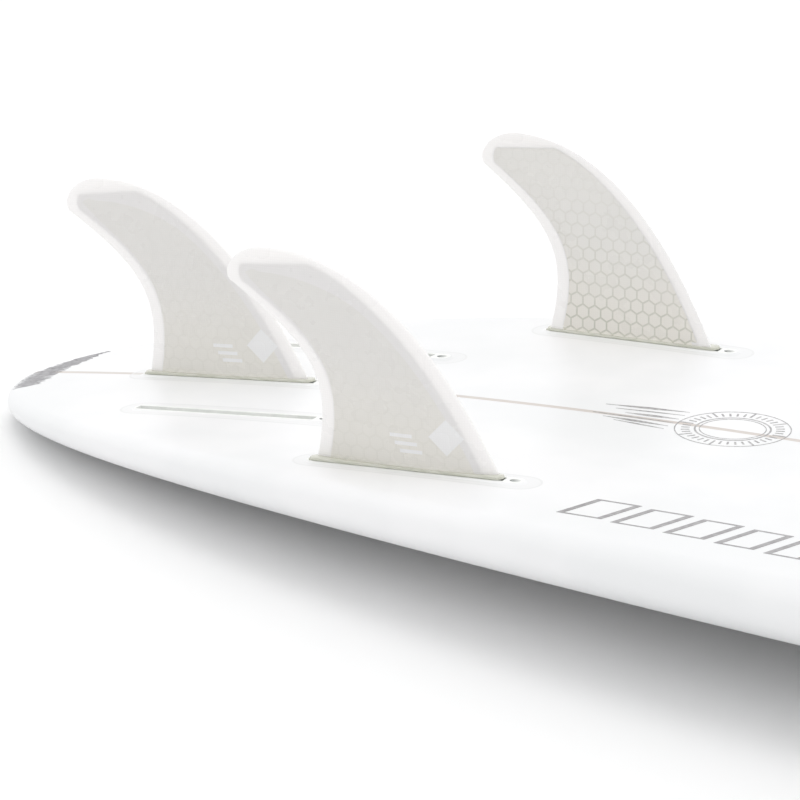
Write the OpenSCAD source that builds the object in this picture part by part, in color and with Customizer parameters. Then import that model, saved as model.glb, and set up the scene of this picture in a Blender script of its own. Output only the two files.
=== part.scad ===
// Shortboard surfboard with three removable fins and two spare fin boxes, lying deck down.
// +X runs from tail to nose, +Z is up and is the side of the bottom and the fins.
// The origin is at mid length, on the stringer's line, at the height of the surface it lies on.
// Left and right are those of a rider standing on the deck, so the left side is at -Y.

/* [Board outline] */
// Length from the tail end to the nose tip
board_len = 1778; // [1740:1:1830]
// Width at the widest point
board_w = 495; // [480:1:520]
// Distance from the tail end to the widest point
wide_x = 860; // [840:1:890]
// Fullness of the tail's curve, where 2 is an ellipse
tail_power = 2.05; // [1.9:0.01:2.2]
// Fullness of the nose's curve
nose_power = 2; // [1.8:0.05:2.2]
// Pointedness of the nose, where a larger value is more pointed
nose_point = 0.85; // [0.75:0.01:0.95]

/* [Board thickness and rocker] */
// Thickness at the widest point, along the stringer
board_t = 63.5; // [60:0.5:68]
// Thickness of the tail end
tail_t = 18; // [17:0.5:20]
// Thickness of the nose tip
nose_t = 12; // [11:0.5:14]
// How far the tail end curves away from the flat middle of the bottom
tail_rocker = 53; // [50:1:58]
// How far the nose tip curves away from the flat middle of the bottom
nose_rocker = 115; // [105:1:125]
// Depth of the hollow across the bottom
concave = 2.8; // [0.5:0.1:4]
// Depth of the rail's widest line below the bottom, at the tail
edge_drop_tail = 5.4; // [4:0.1:7]
// Depth of the rail's widest line below the bottom, at the widest point
edge_drop_mid = 14; // [10:0.5:18]

/* [Laminate and stringer] */
// Thickness of the glass skins
glass_t = 0.9; // [0.7:0.1:1.1]
// Thickness of the wooden stringer
stringer_t = 4.5; // [3:0.1:5]

/* [Fin boxes] */
// Length of the slot that a fin's base drops into
slot_len = 121.2; // [121:0.1:121.6]
// Width of the slot
slot_w = 6.6; // [6.4:0.1:7]
// Depth of the two front side slots
deep_slot = 19; // [18:0.5:20]
// Depth of the centre slot and the two rear slots
shallow_slot = 12.7; // [12.5:0.1:14]
// Width of the flange that the glass covers
flange_w = 25; // [22:0.5:28]
// Radius of a fin screw
screw_r = 2.4; // [2.2:0.05:2.5]
// Length of a fin screw
screw_len = 9.5; // [9:0.5:10.5]

/* [Fin places] */
// Distance from the tail end to the middle of the centre slot
centre_x = 147; // [143:1:152]
// Distance from the tail end to the middle of the front side slots
front_x = 349.5; // [335:0.5:360]
// Distance from the stringer's line to the middle of the front side slots
front_y = 148; // [140:0.5:152]
// Toe-in of the front side slots in degrees
front_toe = 2.9; // [1.5:0.1:4]
// Distance from the tail end to the middle of the rear side slots
rear_x = 188.5; // [184:0.5:195]
// Distance from the stringer's line to the middle of the rear side slots
rear_y = 75.7; // [72:0.1:80]
// Toe-in of the rear side slots in degrees
rear_toe = 1.7; // [1:0.1:3]

/* [Fins] */
// Length of the clear bar under a fin
bar_len = 120.6; // [120:0.1:120.8]
// Height of the bar above the fin box
bar_h = 1.7; // [1.2:0.1:2.4]
// Height of a fin above the board
fin_h = 123.5; // [112:0.5:126]
// Length of the blade where it meets its bar
blade_base = 112.7; // [108:0.1:114]
// How far the fin's tip reaches behind the bar
fin_rake = 47; // [38:0.5:50]
// Thickness of a blade at its base
foil_t = 6.6; // [6:0.1:7]
// Outward lean of the side fins in degrees
cant = 3; // [0:0.5:6]
// Width of the solid resin rim around the honeycomb core
rim_w = 8.5; // [7:0.5:10]
// Thickness of the glass over the honeycomb core
fin_glass_t = 0.5; // [0.4:0.05:0.6]

/* [Leash cup] */
// Distance from the tail end to the leash cup
cup_x = 54; // [50:1:58]
// Distance from the stringer's line to the leash cup
cup_y = 22; // [20:1:26]
// Outer radius of the leash cup
cup_r = 15; // [14:0.5:16]
// Depth of the leash cup's body
cup_h = 14; // [13:0.5:15]
// Radius of the pin across the leash cup
leash_bar_r = 2; // [1.5:0.1:2.5]

/* [Hidden] */
$fn = 48;

// ---- Board: the rule of its shape, with x measured from the tail end ----
stations = 44;
tip_half_w = 5;
tail_foil = 2.6;
nose_foil = 2;
tail_curve = 2.85;
nose_curve = 2.6;
edge_ratio = 1.3;
deck_power = 0.85;
side_power = 0.8;
lap_angle = 30;
half_stringer = stringer_t / 2;

function nose_run(x) = (x - wide_x) / (board_len - wide_x);
function tail_run(x) = 1 - x / wide_x;
function plan_half_w(x) = board_w / 2 * (x < wide_x
    ? sqrt(max(0, 1 - pow(tail_run(x), tail_power)))
    : pow(max(0, 1 - pow(nose_run(x), nose_power)), nose_point));
function half_w(x) = max(tip_half_w, plan_half_w(x));
function thickness(x) = x < wide_x
    ? board_t - (board_t - tail_t) * pow(tail_run(x), tail_foil)
    : board_t - (board_t - nose_t) * pow(nose_run(x), nose_foil);

// The board rests on its tail end and nose tip, so the middle's line is pitched by this slope.
pitch = ((nose_rocker + nose_t) - (tail_rocker + tail_t)) / board_len;
bottom_lift = tail_rocker + tail_t;
function bottom_z(x) = bottom_lift + pitch * x - (x < wide_x
    ? tail_rocker * pow(tail_run(x), tail_curve)
    : nose_rocker * pow(nose_run(x), nose_curve));
function hollow(x) = concave * (1 - pow(abs(2 * x / board_len - 1), 6));
function edge_drop(x) = min(edge_drop_mid,
    edge_drop_tail + (edge_drop_mid - edge_drop_tail) * x / wide_x, thickness(x) * 0.42);

// ---- Cross-section: points [y, z] of half a section, made smaller by the inset s ----
function sec_w(x, s) = half_w(x) - s;
function sec_edge(x, s) = min(edge_ratio * edge_drop(x), 0.4 * sec_w(x, s));
function sec_bottom(x, s, y) = bottom_z(x) - s + hollow(x) * pow(y / half_w(x), 2);
function sec_edge_z(x, s) = sec_bottom(x, s, sec_w(x, s) - sec_edge(x, s));
function sec_deck(x, s, y) = let (
        top = sec_edge_z(x, s) - edge_drop(x),
        low = bottom_z(x) - thickness(x) + s,
        across = pow(y / sec_w(x, s), 1 / side_power))
    top - (top - low) * pow(max(0, 1 - across * across), deck_power / 2);
function seam_y(x, s) = sec_w(x, s) * pow(cos(lap_angle), side_power);

function bottom_points(x, s) = let (flat_w = sec_w(x, s) - sec_edge(x, s))
    [for (y = [half_stringer, (half_stringer + flat_w) / 2, flat_w]) [y, sec_bottom(x, s, y)]];
function edge_points(x, s) = let (
        w = sec_w(x, s),
        e = sec_edge(x, s),
        z = sec_edge_z(x, s))
    [for (t = [30, 60, 90]) [w - e + e * sin(t), z - edge_drop(x) * (1 - cos(t))]];
function side_points(x, s) = [for (t = [10, 20, lap_angle])
    let (y = sec_w(x, s) * pow(cos(t), side_power)) [y, sec_deck(x, s, y)]];
function deck_points(x, s) = [for (k = [4:-1:0])
    let (y = half_stringer + (seam_y(x, s) - half_stringer) * pow(k / 5, 0.8))
    [y, sec_deck(x, s, y)]];

function under_half(x, s) = concat([[0, sec_bottom(x, s, 0)]],
    bottom_points(x, s), edge_points(x, s), side_points(x, s));
function over_half(x, s) = concat([[0, sec_deck(x, s, 0)]],
    [for (k = [4:-1:0]) deck_points(x, s)[k]], [side_points(x, s)[2]]);
function core_half(x, s) = concat(bottom_points(x, s), edge_points(x, s), side_points(x, s),
    deck_points(x, s));

// ---- Lofts: rings of points along the board, joined by triangles ----
function station_x(i, s) = let (x = board_len * (1 - cos(180 * i / (stations - 1))) / 2)
    x + s * (1 - 2 * x / board_len);
function plan_x(i) = station_x(i, 0);
function ring_half(kind, i, s) = kind == "under" ? under_half(plan_x(i), s)
    : kind == "over" ? over_half(plan_x(i), s)
    : core_half(plan_x(i), s);
// A whole ring runs from the left seam over the centre line to the right seam.
function ring_whole(kind, i, s) = let (half = ring_half(kind, i, s), n = len(half))
    concat([for (j = [n - 1:-1:1]) [station_x(i, s), -half[j][0], half[j][1]]],
        [for (j = [0:n - 1]) [station_x(i, s), half[j][0], half[j][1]]]);
function quad(a, b, c, d, mirrored) = mirrored ? [[a, b, d], [b, c, d]] : [[a, b, c], [a, c, d]];
// The quads from column split onwards are cut along their other diagonal.
function sheet(rows, cols, first, split, swapped = false) = [for (i = [0:rows - 2], j = [0:cols - 2])
    let (a = first + i * cols + j)
    each quad(a, a + cols, a + cols + 1, a + 1, (j >= split) != swapped)];
function flipped(faces) = [for (f = faces) [f[2], f[1], f[0]]];
function fan(ids) = [for (k = [1:len(ids) - 2]) [ids[0], ids[k], ids[k + 1]]];

// A skin: outer and inner rings, closed along both seams and across the two ends.
module skin_shell(kind) {
    cols = len(ring_whole(kind, 0, 0));
    inner = stations * cols;
    last = (stations - 1) * cols;
    points = concat([for (i = [0:stations - 1]) each ring_whole(kind, i, 0)],
        [for (i = [0:stations - 1]) each ring_whole(kind, i, glass_t)]);
    seams = [for (i = [0:stations - 2]) let (a = i * cols, b = a + cols - 1) each concat(
        quad(a, inner + a, inner + a + cols, a + cols, false),
        quad(b, b + cols, inner + b + cols, inner + b, false))];
    ends = concat(
        fan([for (j = [0:cols - 1]) j]),
        fan([for (j = [cols - 1:-1:0]) inner + j]),
        quad(0, cols - 1, inner + cols - 1, inner, false),
        fan([for (j = [cols - 1:-1:0]) last + j]),
        fan([for (j = [0:cols - 1]) inner + last + j]),
        quad(inner + last, inner + last + cols - 1, last + cols - 1, last, false));
    over = kind == "over";
    faces = concat(sheet(stations, cols, 0, (cols - 1) / 2, over),
        flipped(sheet(stations, cols, inner, (cols - 1) / 2, over)), seams, ends);
    polyhedron(points, over ? faces : flipped(faces), convexity = 6);
}

// Half of the foam blank, from the stringer's face out to the inside of the skins.
module core_solid() {
    cols = len(core_half(plan_x(0), glass_t));
    last = (stations - 1) * cols;
    points = [for (i = [0:stations - 1]) each [for (p = core_half(plan_x(i), glass_t))
        [station_x(i, glass_t), p[0], p[1]]]];
    closing = [for (i = [0:stations - 2]) let (a = i * cols, b = a + cols - 1)
        each quad(b, b + cols, a + cols, a, false)];
    faces = concat(sheet(stations, cols, 0, 0), closing,
        fan([for (j = [0:cols - 1]) j]), fan([for (j = [cols - 1:-1:0]) last + j]));
    polyhedron(points, flipped(faces), convexity = 6);
}

// ---- Placing: board modules measure x from the tail end ----
module on_board() {
    translate([-board_len / 2, 0, 0]) children();
}
module right_side(is_right) {
    mirror([0, is_right ? 1 : 0, 0]) children();
}
function slope_at(x) = atan((bottom_z(x + 1) - bottom_z(x - 1)) / 2);
function roll_at(x, y) = atan(2 * hollow(x) * y / pow(half_w(x), 2));

// A fin box's own frame: +X along the slot to the nose, +Z out of the bottom, middle of the slot.
// Places are [x, y, toe, slot depth] for the left side, and the right side is their mirror image.
centre_place = [centre_x, 0, 0, shallow_slot];
front_place = [front_x, front_y, front_toe, deep_slot];
rear_place = [rear_x, rear_y, rear_toe, shallow_slot];
module at_box(place, is_right) {
    x = place[0];
    y = place[1];
    on_board() right_side(is_right)
        translate([x, -y, sec_bottom(x, 0, y)])
            rotate([-roll_at(x, y), -slope_at(x), place[2]]) children();
}

// ---- Fin boxes ----
box_wall = 2.6;
lip_wall = 1.9;
lip_h = 0.2;
flange_t = 1.6;
flange_sink = 2;
screw_tilt = 45;
screw_gap = 0.08;
screw_ahead = 6.4;
screw_x = slot_len / 2 + screw_ahead;
mouth_pad = 5.5;
fit_gap = 0.05;
body_w = slot_w + 2 * box_wall;
lip_w = slot_w + 2 * lip_wall;
flange_side = (flange_w - body_w) / 2;
box_rear = -slot_len / 2;
box_front = screw_x + mouth_pad;

module stadium(from_x, to_x, w) {
    translate([from_x + w / 2, -w / 2]) square([to_x - from_x - w, w]);
    for (x = [from_x + w / 2, to_x - w / 2])
        translate([x, 0]) circle(d = w);
}
module slab(from_x, to_x, w, from_z, to_z) {
    translate([0, 0, from_z]) linear_extrude(to_z - from_z) stadium(from_x, to_x, w);
}
// The outside of a box, grown by the gap g: flange, body and the lip that reaches the surface.
module box_outside(depth, g) {
    slab(box_rear - box_wall - g, box_front + box_wall + g, body_w + 2 * g,
        -depth - box_wall - g, -flange_sink);
    flange_slab(g, -flange_sink - flange_t - g, -flange_sink + g);
    slab(box_rear - lip_wall - g, box_front + g, lip_w + 2 * g, -flange_sink - flange_t, lip_h + g);
}
module flange_slab(g, from_z, to_z) {
    reach = box_wall + flange_side + g;
    slab(box_rear - reach, box_front + reach, flange_w + 2 * g, from_z, to_z);
}
module screw_axis() {
    translate([screw_x, 0, 0]) rotate([0, screw_tilt, 0]) children();
}
module box_solid(depth) {
    difference() {
        box_outside(depth, 0);
        translate([-slot_len / 2, -slot_w / 2, -depth]) cube([slot_len, slot_w, depth + 2]);
        screw_axis() translate([0, 0, -screw_len - 6])
            cylinder(r = screw_r + screw_gap, h = screw_len + 12);
    }
}
// The room for a box in the foam and the stringer, open up to the glass, and its hole in the glass.
module foam_pocket(place) {
    box_outside(place[3], fit_gap);
    flange_slab(fit_gap, -flange_sink, flange_sink);
}
module glass_hole(place) {
    slab(box_rear - lip_wall - fit_gap, box_front + fit_gap, lip_w + 2 * fit_gap,
        -flange_sink, flange_sink);
}
module foam_pockets(is_right) {
    at_box(centre_place, is_right) foam_pocket(centre_place);
    at_box(front_place, is_right) foam_pocket(front_place);
    at_box(rear_place, is_right) foam_pocket(rear_place);
}

// ---- Fin screws ----
socket_af = 2.5;
socket_depth = 3;
screw_top = -2.6;
module screw_solid() {
    screw_axis() difference() {
        translate([0, 0, screw_top - screw_len]) cylinder(r = screw_r, h = screw_len);
        translate([0, 0, screw_top - socket_depth])
            cylinder(d = socket_af / cos(30), h = socket_depth + 1, $fn = 6);
    }
}

// ---- Fins ----
tab_w = 6.3;
bar_gap = 0.15;
bar_w = 8.4;
bar_z = lip_h + bar_gap;
blade_z = bar_z + bar_h;
tab_room = 0.7;
notch_gap = 0.1;
rows = 21;
tip_row = 14;
le_split = 0.72;
foil_cols = 9;
core_start_row = 0.2;
root_row = -0.06;
core_last_row = 16;
core_cols = 7;
tip_short = 0.35;
foil_peak = 0.3571;
foil_top = sqrt(foil_peak) * pow(1 - foil_peak, 0.9);
edge_t = 0.8;

module fin_base_solid(depth) {
    notch = screw_top - screw_len - notch_gap;
    difference() {
        translate([-bar_len / 2, -tab_w / 2, tab_room - depth])
            cube([bar_len, tab_w, depth - tab_room + bar_z + bar_h / 2]);
        screw_axis() translate([-2 * depth, -tab_w, notch]) cube([3 * depth, 2 * tab_w, 4 * depth]);
    }
    slab(-bar_len / 2, bar_len / 2, bar_w, bar_z, blade_z);
}

// The blade's outline is two curves in its plane, from the bar up to the top of the tip:
// the leading edge, and the trailing edge followed by the rounded tip.
base_rear = -bar_len / 2 + 3.3;
base_front = base_rear + blade_base;
tip_top = [-bar_len / 2 - fin_rake * 0.47, fin_h];
tip_rear = [-bar_len / 2 - fin_rake * 0.98, fin_h * 0.834];
function bezier(p, t) = pow(1 - t, 3) * p[0] + 3 * pow(1 - t, 2) * t * p[1]
    + 3 * (1 - t) * t * t * p[2] + pow(t, 3) * p[3];
leading = [[base_front, blade_z], [base_front - 24, fin_h * 0.445],
    [tip_top[0] + 70, fin_h], tip_top];
trailing = [[base_rear, blade_z], [base_rear + 12.7, fin_h * 0.405],
    [base_rear + 0.7, fin_h * 0.55], tip_rear];
tip_curve = [tip_rear, [tip_rear[0] - 4, fin_h * 0.907], [tip_top[0] - 16, fin_h], tip_top];
function rear_point(r) = r <= tip_row ? bezier(trailing, r / tip_row)
    : bezier(tip_curve, (r - tip_row) / (rows - 1 - tip_row));
function front_point(r) = bezier(leading, r <= tip_row ? le_split * r / tip_row
    : le_split + (1 - le_split) * (r - tip_row) / (rows - 1 - tip_row));
function row_len(r) = norm(front_point(r) - rear_point(r));
function row_point(r, s) = front_point(r) + (rear_point(r) - front_point(r)) * s;

// Foil thickness at the share s of a row from the leading edge, thinner towards the tip.
function row_t(r) = let (up = row_point(r, 0.4)[1] / fin_h) foil_t * (1 - 0.45 * up * up);
function foil(r, s) = edge_t + (row_t(r) - edge_t)
    * sqrt(s) * pow(max(0, 1 - s), 0.9) / foil_top * min(1, row_len(r) / 45);
function spread(j, n) = (1 - cos(180 * j / (n - 1))) / 2;
function core_spread(r, j) = let (inset = rim_w / row_len(r))
    inset + (1 - 2 * inset) * j / (core_cols - 1);
// The inner face has a share of the foil: half on the centre fin, and a little on a side fin,
// whose inner face is nearly flat.
side_share = 0.06;
centre_share = 0.5;
function inner_y(r, s, share) = foil_t * (0.5 - share) + share * foil(r, s);
function outer_y(r, s, share) = inner_y(r, s, share) - foil(r, s);
function shell_point(r, s, y) = let (p = row_point(r, s)) [p[0], y, p[1]];

// A solid between two sheets of points, each cols wide and n rows high.
module between(top, low, n, cols) {
    count = n * cols;
    rim = concat([for (j = [0:cols - 1]) j],
        [for (i = [1:n - 1]) i * cols + cols - 1],
        [for (j = [cols - 2:-1:0]) (n - 1) * cols + j],
        [for (i = [n - 2:-1:1]) i * cols]);
    walls = [for (k = [0:len(rim) - 1]) let (a = rim[k], b = rim[(k + 1) % len(rim)])
        each quad(a, b, b + count, a + count, false)];
    polyhedron(concat(top, low), concat(sheet(n, cols, 0, cols), flipped(sheet(n, cols, count, cols)),
        walls), convexity = 4);
}
module foil_solid(share) {
    last = rows - 1;
    s_of = function (j) spread(j, foil_cols);
    row_at = concat([root_row], [for (r = [1:last]) min(r, last - tip_short)]);
    between([for (r = row_at, j = [0:foil_cols - 1]) shell_point(r, s_of(j), inner_y(r, s_of(j), share))],
        [for (r = row_at, j = [0:foil_cols - 1]) shell_point(r, s_of(j), outer_y(r, s_of(j), share))],
        rows, foil_cols);
}
// A layer inside the blade, between the depths a and b below the inner and outer faces.
module layer(share, a, b, from_inner) {
    core_rows = concat([core_start_row], [for (r = [1:core_last_row]) r]);
    low = function (r, s) from_inner ? inner_y(r, s, share) - b : outer_y(r, s, share) + b;
    between(
        [for (r = core_rows, j = [0:core_cols - 1]) let (s = core_spread(r, j))
            shell_point(r, s, inner_y(r, s, share) - a)],
        [for (r = core_rows, j = [0:core_cols - 1]) let (s = core_spread(r, j))
            shell_point(r, s, low(r, s))],
        len(core_rows), core_cols);
}
module blade_lean(lean) {
    translate([0, 0, blade_z]) rotate([lean, 0, 0]) translate([0, 0, -blade_z]) children();
}
module blade_solid(share) {
    difference() {
        foil_solid(share);
        layer(share, -1, fin_glass_t, false);
    }
}
module core_layer(share) {
    layer(share, fin_glass_t, fin_glass_t, false);
}
module skin_layer(share) {
    layer(share, 0, fin_glass_t, true);
}
side_lean = cant + roll_at(front_x, front_y);
function share_of(lean) = lean == 0 ? centre_share : side_share;

// ---- Leash cup, open towards the deck ----
cup_wall = 2;
cup_floor = 2;
rim_sink = 0.3;
bar_depth = 6;
bar_bite = 1.4;
cup_z = sec_deck(cup_x, 0, cup_y) + rim_sink;
module at_cup() {
    on_board() translate([cup_x, cup_y, cup_z]) children();
}
module leash_bar_solid(r) {
    translate([0, 0, bar_depth]) rotate([90, 0, 0])
        cylinder(r = r, h = 2 * (cup_r - cup_wall + bar_bite), center = true);
}
module cup_pocket() {
    above = rim_sink + 3;
    at_cup() translate([0, 0, -above])
        cylinder(r = cup_r + fit_gap, h = cup_h + above + fit_gap);
}

// ---- One module per node ----
module stringer() {
    under = [for (i = [0:stations - 1]) [station_x(i, glass_t), sec_bottom(plan_x(i), glass_t, 0)]];
    over = [for (i = [stations - 1:-1:0])
        [station_x(i, glass_t), sec_deck(plan_x(i), glass_t, half_stringer)]];
    color("#d9cdb8") difference() {
        on_board() rotate([90, 0, 0]) linear_extrude(stringer_t, center = true)
            polygon(concat(under, over));
        at_box(centre_place, false) foam_pocket(centre_place);
    }
}
module foam_core_left() {
    color("#f3f1ea") difference() {
        on_board() mirror([0, 1, 0]) core_solid();
        foam_pockets(false);
    }
}
module foam_core_right() {
    color("#f3f1ea") difference() {
        on_board() core_solid();
        foam_pockets(true);
        cup_pocket();
    }
}
module bottom_glass() {
    color("#f6f6f5") difference() {
        on_board() skin_shell("under");
        at_box(centre_place, false) glass_hole(centre_place);
        for (place = [front_place, rear_place], is_right = [false, true])
            at_box(place, is_right) glass_hole(place);
    }
}
module deck_glass() {
    color("#f6f6f5") difference() {
        on_board() skin_shell("over");
        cup_pocket();
    }
}
module box(place, is_right) {
    color("#e9ebe6") at_box(place, is_right) box_solid(place[3]);
}
module screw(place, is_right) {
    color("#8d9092") at_box(place, is_right) screw_solid();
}
module fin_base(place, is_right) {
    color("#cfd3c4") at_box(place, is_right) fin_base_solid(place[3]);
}
module fin_blade(place, is_right, lean) {
    color("#e9e6e8") at_box(place, is_right) difference() {
        blade_lean(lean) blade_solid(share_of(lean));
        translate([-bar_len, -bar_len / 2, blade_z - bar_len]) cube([2 * bar_len, bar_len, bar_len]);
    }
}
module fin_core(place, is_right, lean) {
    color("#d6d4cc") at_box(place, is_right) blade_lean(lean) core_layer(share_of(lean));
}
module fin_skin(place, is_right, lean) {
    color("#dedcd8") at_box(place, is_right) blade_lean(lean) skin_layer(share_of(lean));
}
module leash_cup() {
    color("#e4e4e0") difference() {
        at_cup() cylinder(r = cup_r, h = cup_h);
        at_cup() translate([0, 0, -1]) cylinder(r = cup_r - cup_wall, h = cup_h - cup_floor + 1);
        at_cup() leash_bar_solid(leash_bar_r + fit_gap);
    }
}
module leash_bar() {
    color("#b9bcbf") at_cup() leash_bar_solid(leash_bar_r);
}

stringer();
foam_core_left();
foam_core_right();
bottom_glass();
deck_glass();
box(centre_place, false);  // box_centre
box(front_place, false);  // box_left_front
box(front_place, true);  // box_right_front
box(rear_place, false);  // box_left_rear
box(rear_place, true);  // box_right_rear
screw(centre_place, false);  // screw_centre
screw(front_place, false);  // screw_left_front
screw(front_place, true);  // screw_right_front
screw(rear_place, false);  // screw_left_rear
screw(rear_place, true);  // screw_right_rear
fin_base(front_place, false);  // fin_left_base
fin_blade(front_place, false, side_lean);  // fin_left_blade
fin_core(front_place, false, side_lean);  // fin_left_core
fin_skin(front_place, false, side_lean);  // fin_left_skin
fin_base(front_place, true);  // fin_right_base
fin_blade(front_place, true, side_lean);  // fin_right_blade
fin_core(front_place, true, side_lean);  // fin_right_core
fin_skin(front_place, true, side_lean);  // fin_right_skin
fin_base(centre_place, false);  // fin_centre_base
fin_blade(centre_place, false, 0);  // fin_centre_blade
fin_core(centre_place, false, 0);  // fin_centre_core
fin_skin(centre_place, false, 0);  // fin_centre_skin
leash_cup();
leash_bar();
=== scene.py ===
"""A shortboard lying deck down on a pale floor, with three removable fins and two spare fin boxes.

+X runs from tail to nose, +Z is up and is the side of the bottom and the fins, and left is -Y.
Sizes are in millimetres until a mesh is made, and every mesh is in metres in the CAD's frame.
"""

import logging
import math
from dataclasses import dataclass
from enum import Enum

import bmesh
import bpy
import numpy as np
from mathutils import Matrix, Vector


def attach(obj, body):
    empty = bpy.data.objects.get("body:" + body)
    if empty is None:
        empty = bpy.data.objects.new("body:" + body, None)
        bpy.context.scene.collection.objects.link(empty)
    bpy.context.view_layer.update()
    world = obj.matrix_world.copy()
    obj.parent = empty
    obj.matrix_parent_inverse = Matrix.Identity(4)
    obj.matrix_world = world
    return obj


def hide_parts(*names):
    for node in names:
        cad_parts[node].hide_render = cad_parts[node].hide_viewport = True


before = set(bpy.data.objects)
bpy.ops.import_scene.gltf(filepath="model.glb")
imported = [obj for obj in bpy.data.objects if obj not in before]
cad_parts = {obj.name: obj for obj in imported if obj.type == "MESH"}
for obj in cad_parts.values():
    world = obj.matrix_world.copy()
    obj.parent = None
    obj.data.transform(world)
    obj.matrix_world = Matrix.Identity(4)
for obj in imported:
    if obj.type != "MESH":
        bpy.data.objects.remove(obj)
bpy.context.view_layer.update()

LOG = logging.getLogger("surfboard")
MM = 0.001
Array = np.ndarray
Socket = bpy.types.NodeSocket


# ---- Meshes ----

def grid_quads(rows: int, cols: int, wrap_rows: bool = False, wrap_cols: bool = False) -> Array:
    """Corner numbers of a grid's quads, where point (i, j) is number i * cols + j.

    Args:
        rows: Number of rows of points.
        cols: Number of columns of points.
        wrap_rows: Joins the last row to the first.
        wrap_cols: Joins the last column to the first.

    Returns:
        One row of four numbers for each quad.
    """
    i, j = np.meshgrid(np.arange(rows - (not wrap_rows)), np.arange(cols - (not wrap_cols)),
                       indexing="ij")
    below, beside = (i + 1) % rows, (j + 1) % cols
    quads = np.stack([i * cols + j, below * cols + j, below * cols + beside, i * cols + beside], -1)
    return quads.reshape(-1, 4)


def cap_quads(cols: int) -> Array:
    """Quads that close one row of a ring which goes out over cols columns and comes back."""
    j = np.arange(cols - 1)
    return np.stack([j, j + 1, 2 * cols - 2 - j, 2 * cols - 1 - j], -1)


def read_points(mesh: bpy.types.Mesh) -> Array:
    """A mesh's points in millimetres, one row of x, y, z each."""
    points = np.empty(len(mesh.vertices) * 3, np.float32)
    mesh.vertices.foreach_get("co", points)
    return points.reshape(-1, 3) / MM


def raised(flat: Array, z: float) -> Array:
    """Gives rows of x, y the height z."""
    return np.concatenate([flat, np.full((len(flat), 1), z)], 1)


def make_piece(name: str, points: Array, quads: Array, materials: list[bpy.types.Material],
               uv: Array | None = None, values: dict[str, Array] | None = None,
               material_index: Array | None = None, closed: bool = True,
               sharp_angle: float = 35.0) -> bpy.types.Object:
    """Makes a mesh object at the origin from points in millimetres.

    Args:
        name: Name of the piece.
        points: Points, one row of x, y, z each.
        quads: Corner numbers; corners that coincide are merged, which closes seams and poles.
        materials: The finishes, in slot order.
        uv: Two numbers a point, put into the UV map "plane".
        values: Named numbers, one a point.
        material_index: Slot of each quad.
        closed: The surface is closed, so its faces are turned outwards.
        sharp_angle: Edges that turn by more than this many degrees stay sharp.

    Returns:
        The object, in the scene.
    """
    mesh = bpy.data.meshes.new(name)
    mesh.from_pydata((np.asarray(points, float).reshape(-1, 3) * MM).tolist(), [], quads.tolist())
    if uv is not None:
        corner = np.empty(len(mesh.loops), int)
        mesh.loops.foreach_get("vertex_index", corner)
        layer = mesh.uv_layers.new(name="plane")
        layer.uv.foreach_set("vector", np.asarray(uv, float).reshape(-1, 2)[corner].ravel())
    for key, numbers in (values or {}).items():
        mesh.attributes.new(key, "FLOAT", "POINT").data.foreach_set(
            "value", np.asarray(numbers, float).ravel())
    for material in materials:
        mesh.materials.append(material)
    if material_index is not None:
        mesh.polygons.foreach_set("material_index", material_index.astype(np.int32))
    work = bmesh.new()
    work.from_mesh(mesh)
    bmesh.ops.remove_doubles(work, verts=work.verts, dist=2e-6)
    bmesh.ops.dissolve_degenerate(work, edges=work.edges, dist=1e-6)
    if closed:
        bmesh.ops.recalc_face_normals(work, faces=work.faces)
    work.to_mesh(mesh)
    work.free()
    soften(mesh, sharp_angle)
    piece = bpy.data.objects.new(name, mesh)
    bpy.context.scene.collection.objects.link(piece)
    return piece


def soften(mesh: bpy.types.Mesh, sharp_angle: float) -> None:
    """Shades a mesh smooth, apart from edges that turn by more than sharp_angle degrees."""
    mesh.shade_smooth()
    mesh.set_sharp_from_angle(angle=math.radians(sharp_angle))


def settle(piece: bpy.types.Object) -> None:
    """Replaces a piece's mesh with what its modifiers make of it."""
    graph = bpy.context.evaluated_depsgraph_get()
    mesh = bpy.data.meshes.new_from_object(piece.evaluated_get(graph))
    mesh.name = piece.name
    piece.modifiers.clear()
    piece.data = mesh


def carve(piece: bpy.types.Object, cutters: list[bpy.types.Object]) -> None:
    """Cuts the cutters out of a closed piece and removes them."""
    for cutter in cutters:
        cut = piece.modifiers.new("cut", "BOOLEAN")
        cut.operation, cut.solver, cut.object = "DIFFERENCE", "MANIFOLD", cutter
    settle(piece)
    for cutter in cutters:
        bpy.data.objects.remove(cutter)


def hand_over(piece: bpy.types.Object, body: str, slot: str, *nodes: str) -> None:
    """Rides a piece on a body and hides the CAD nodes it stands for."""
    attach(piece, body)
    if nodes:
        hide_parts(*nodes)
    LOG.info("%s: %d faces on %s for %s", piece.name, len(piece.data.polygons), body, nodes)


def dress(node: str, material: bpy.types.Material) -> None:
    """Gives a CAD node's slots a finish."""
    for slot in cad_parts[node].material_slots:
        slot.material = material
    LOG.info("%s: %s", node, material.name)


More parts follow.
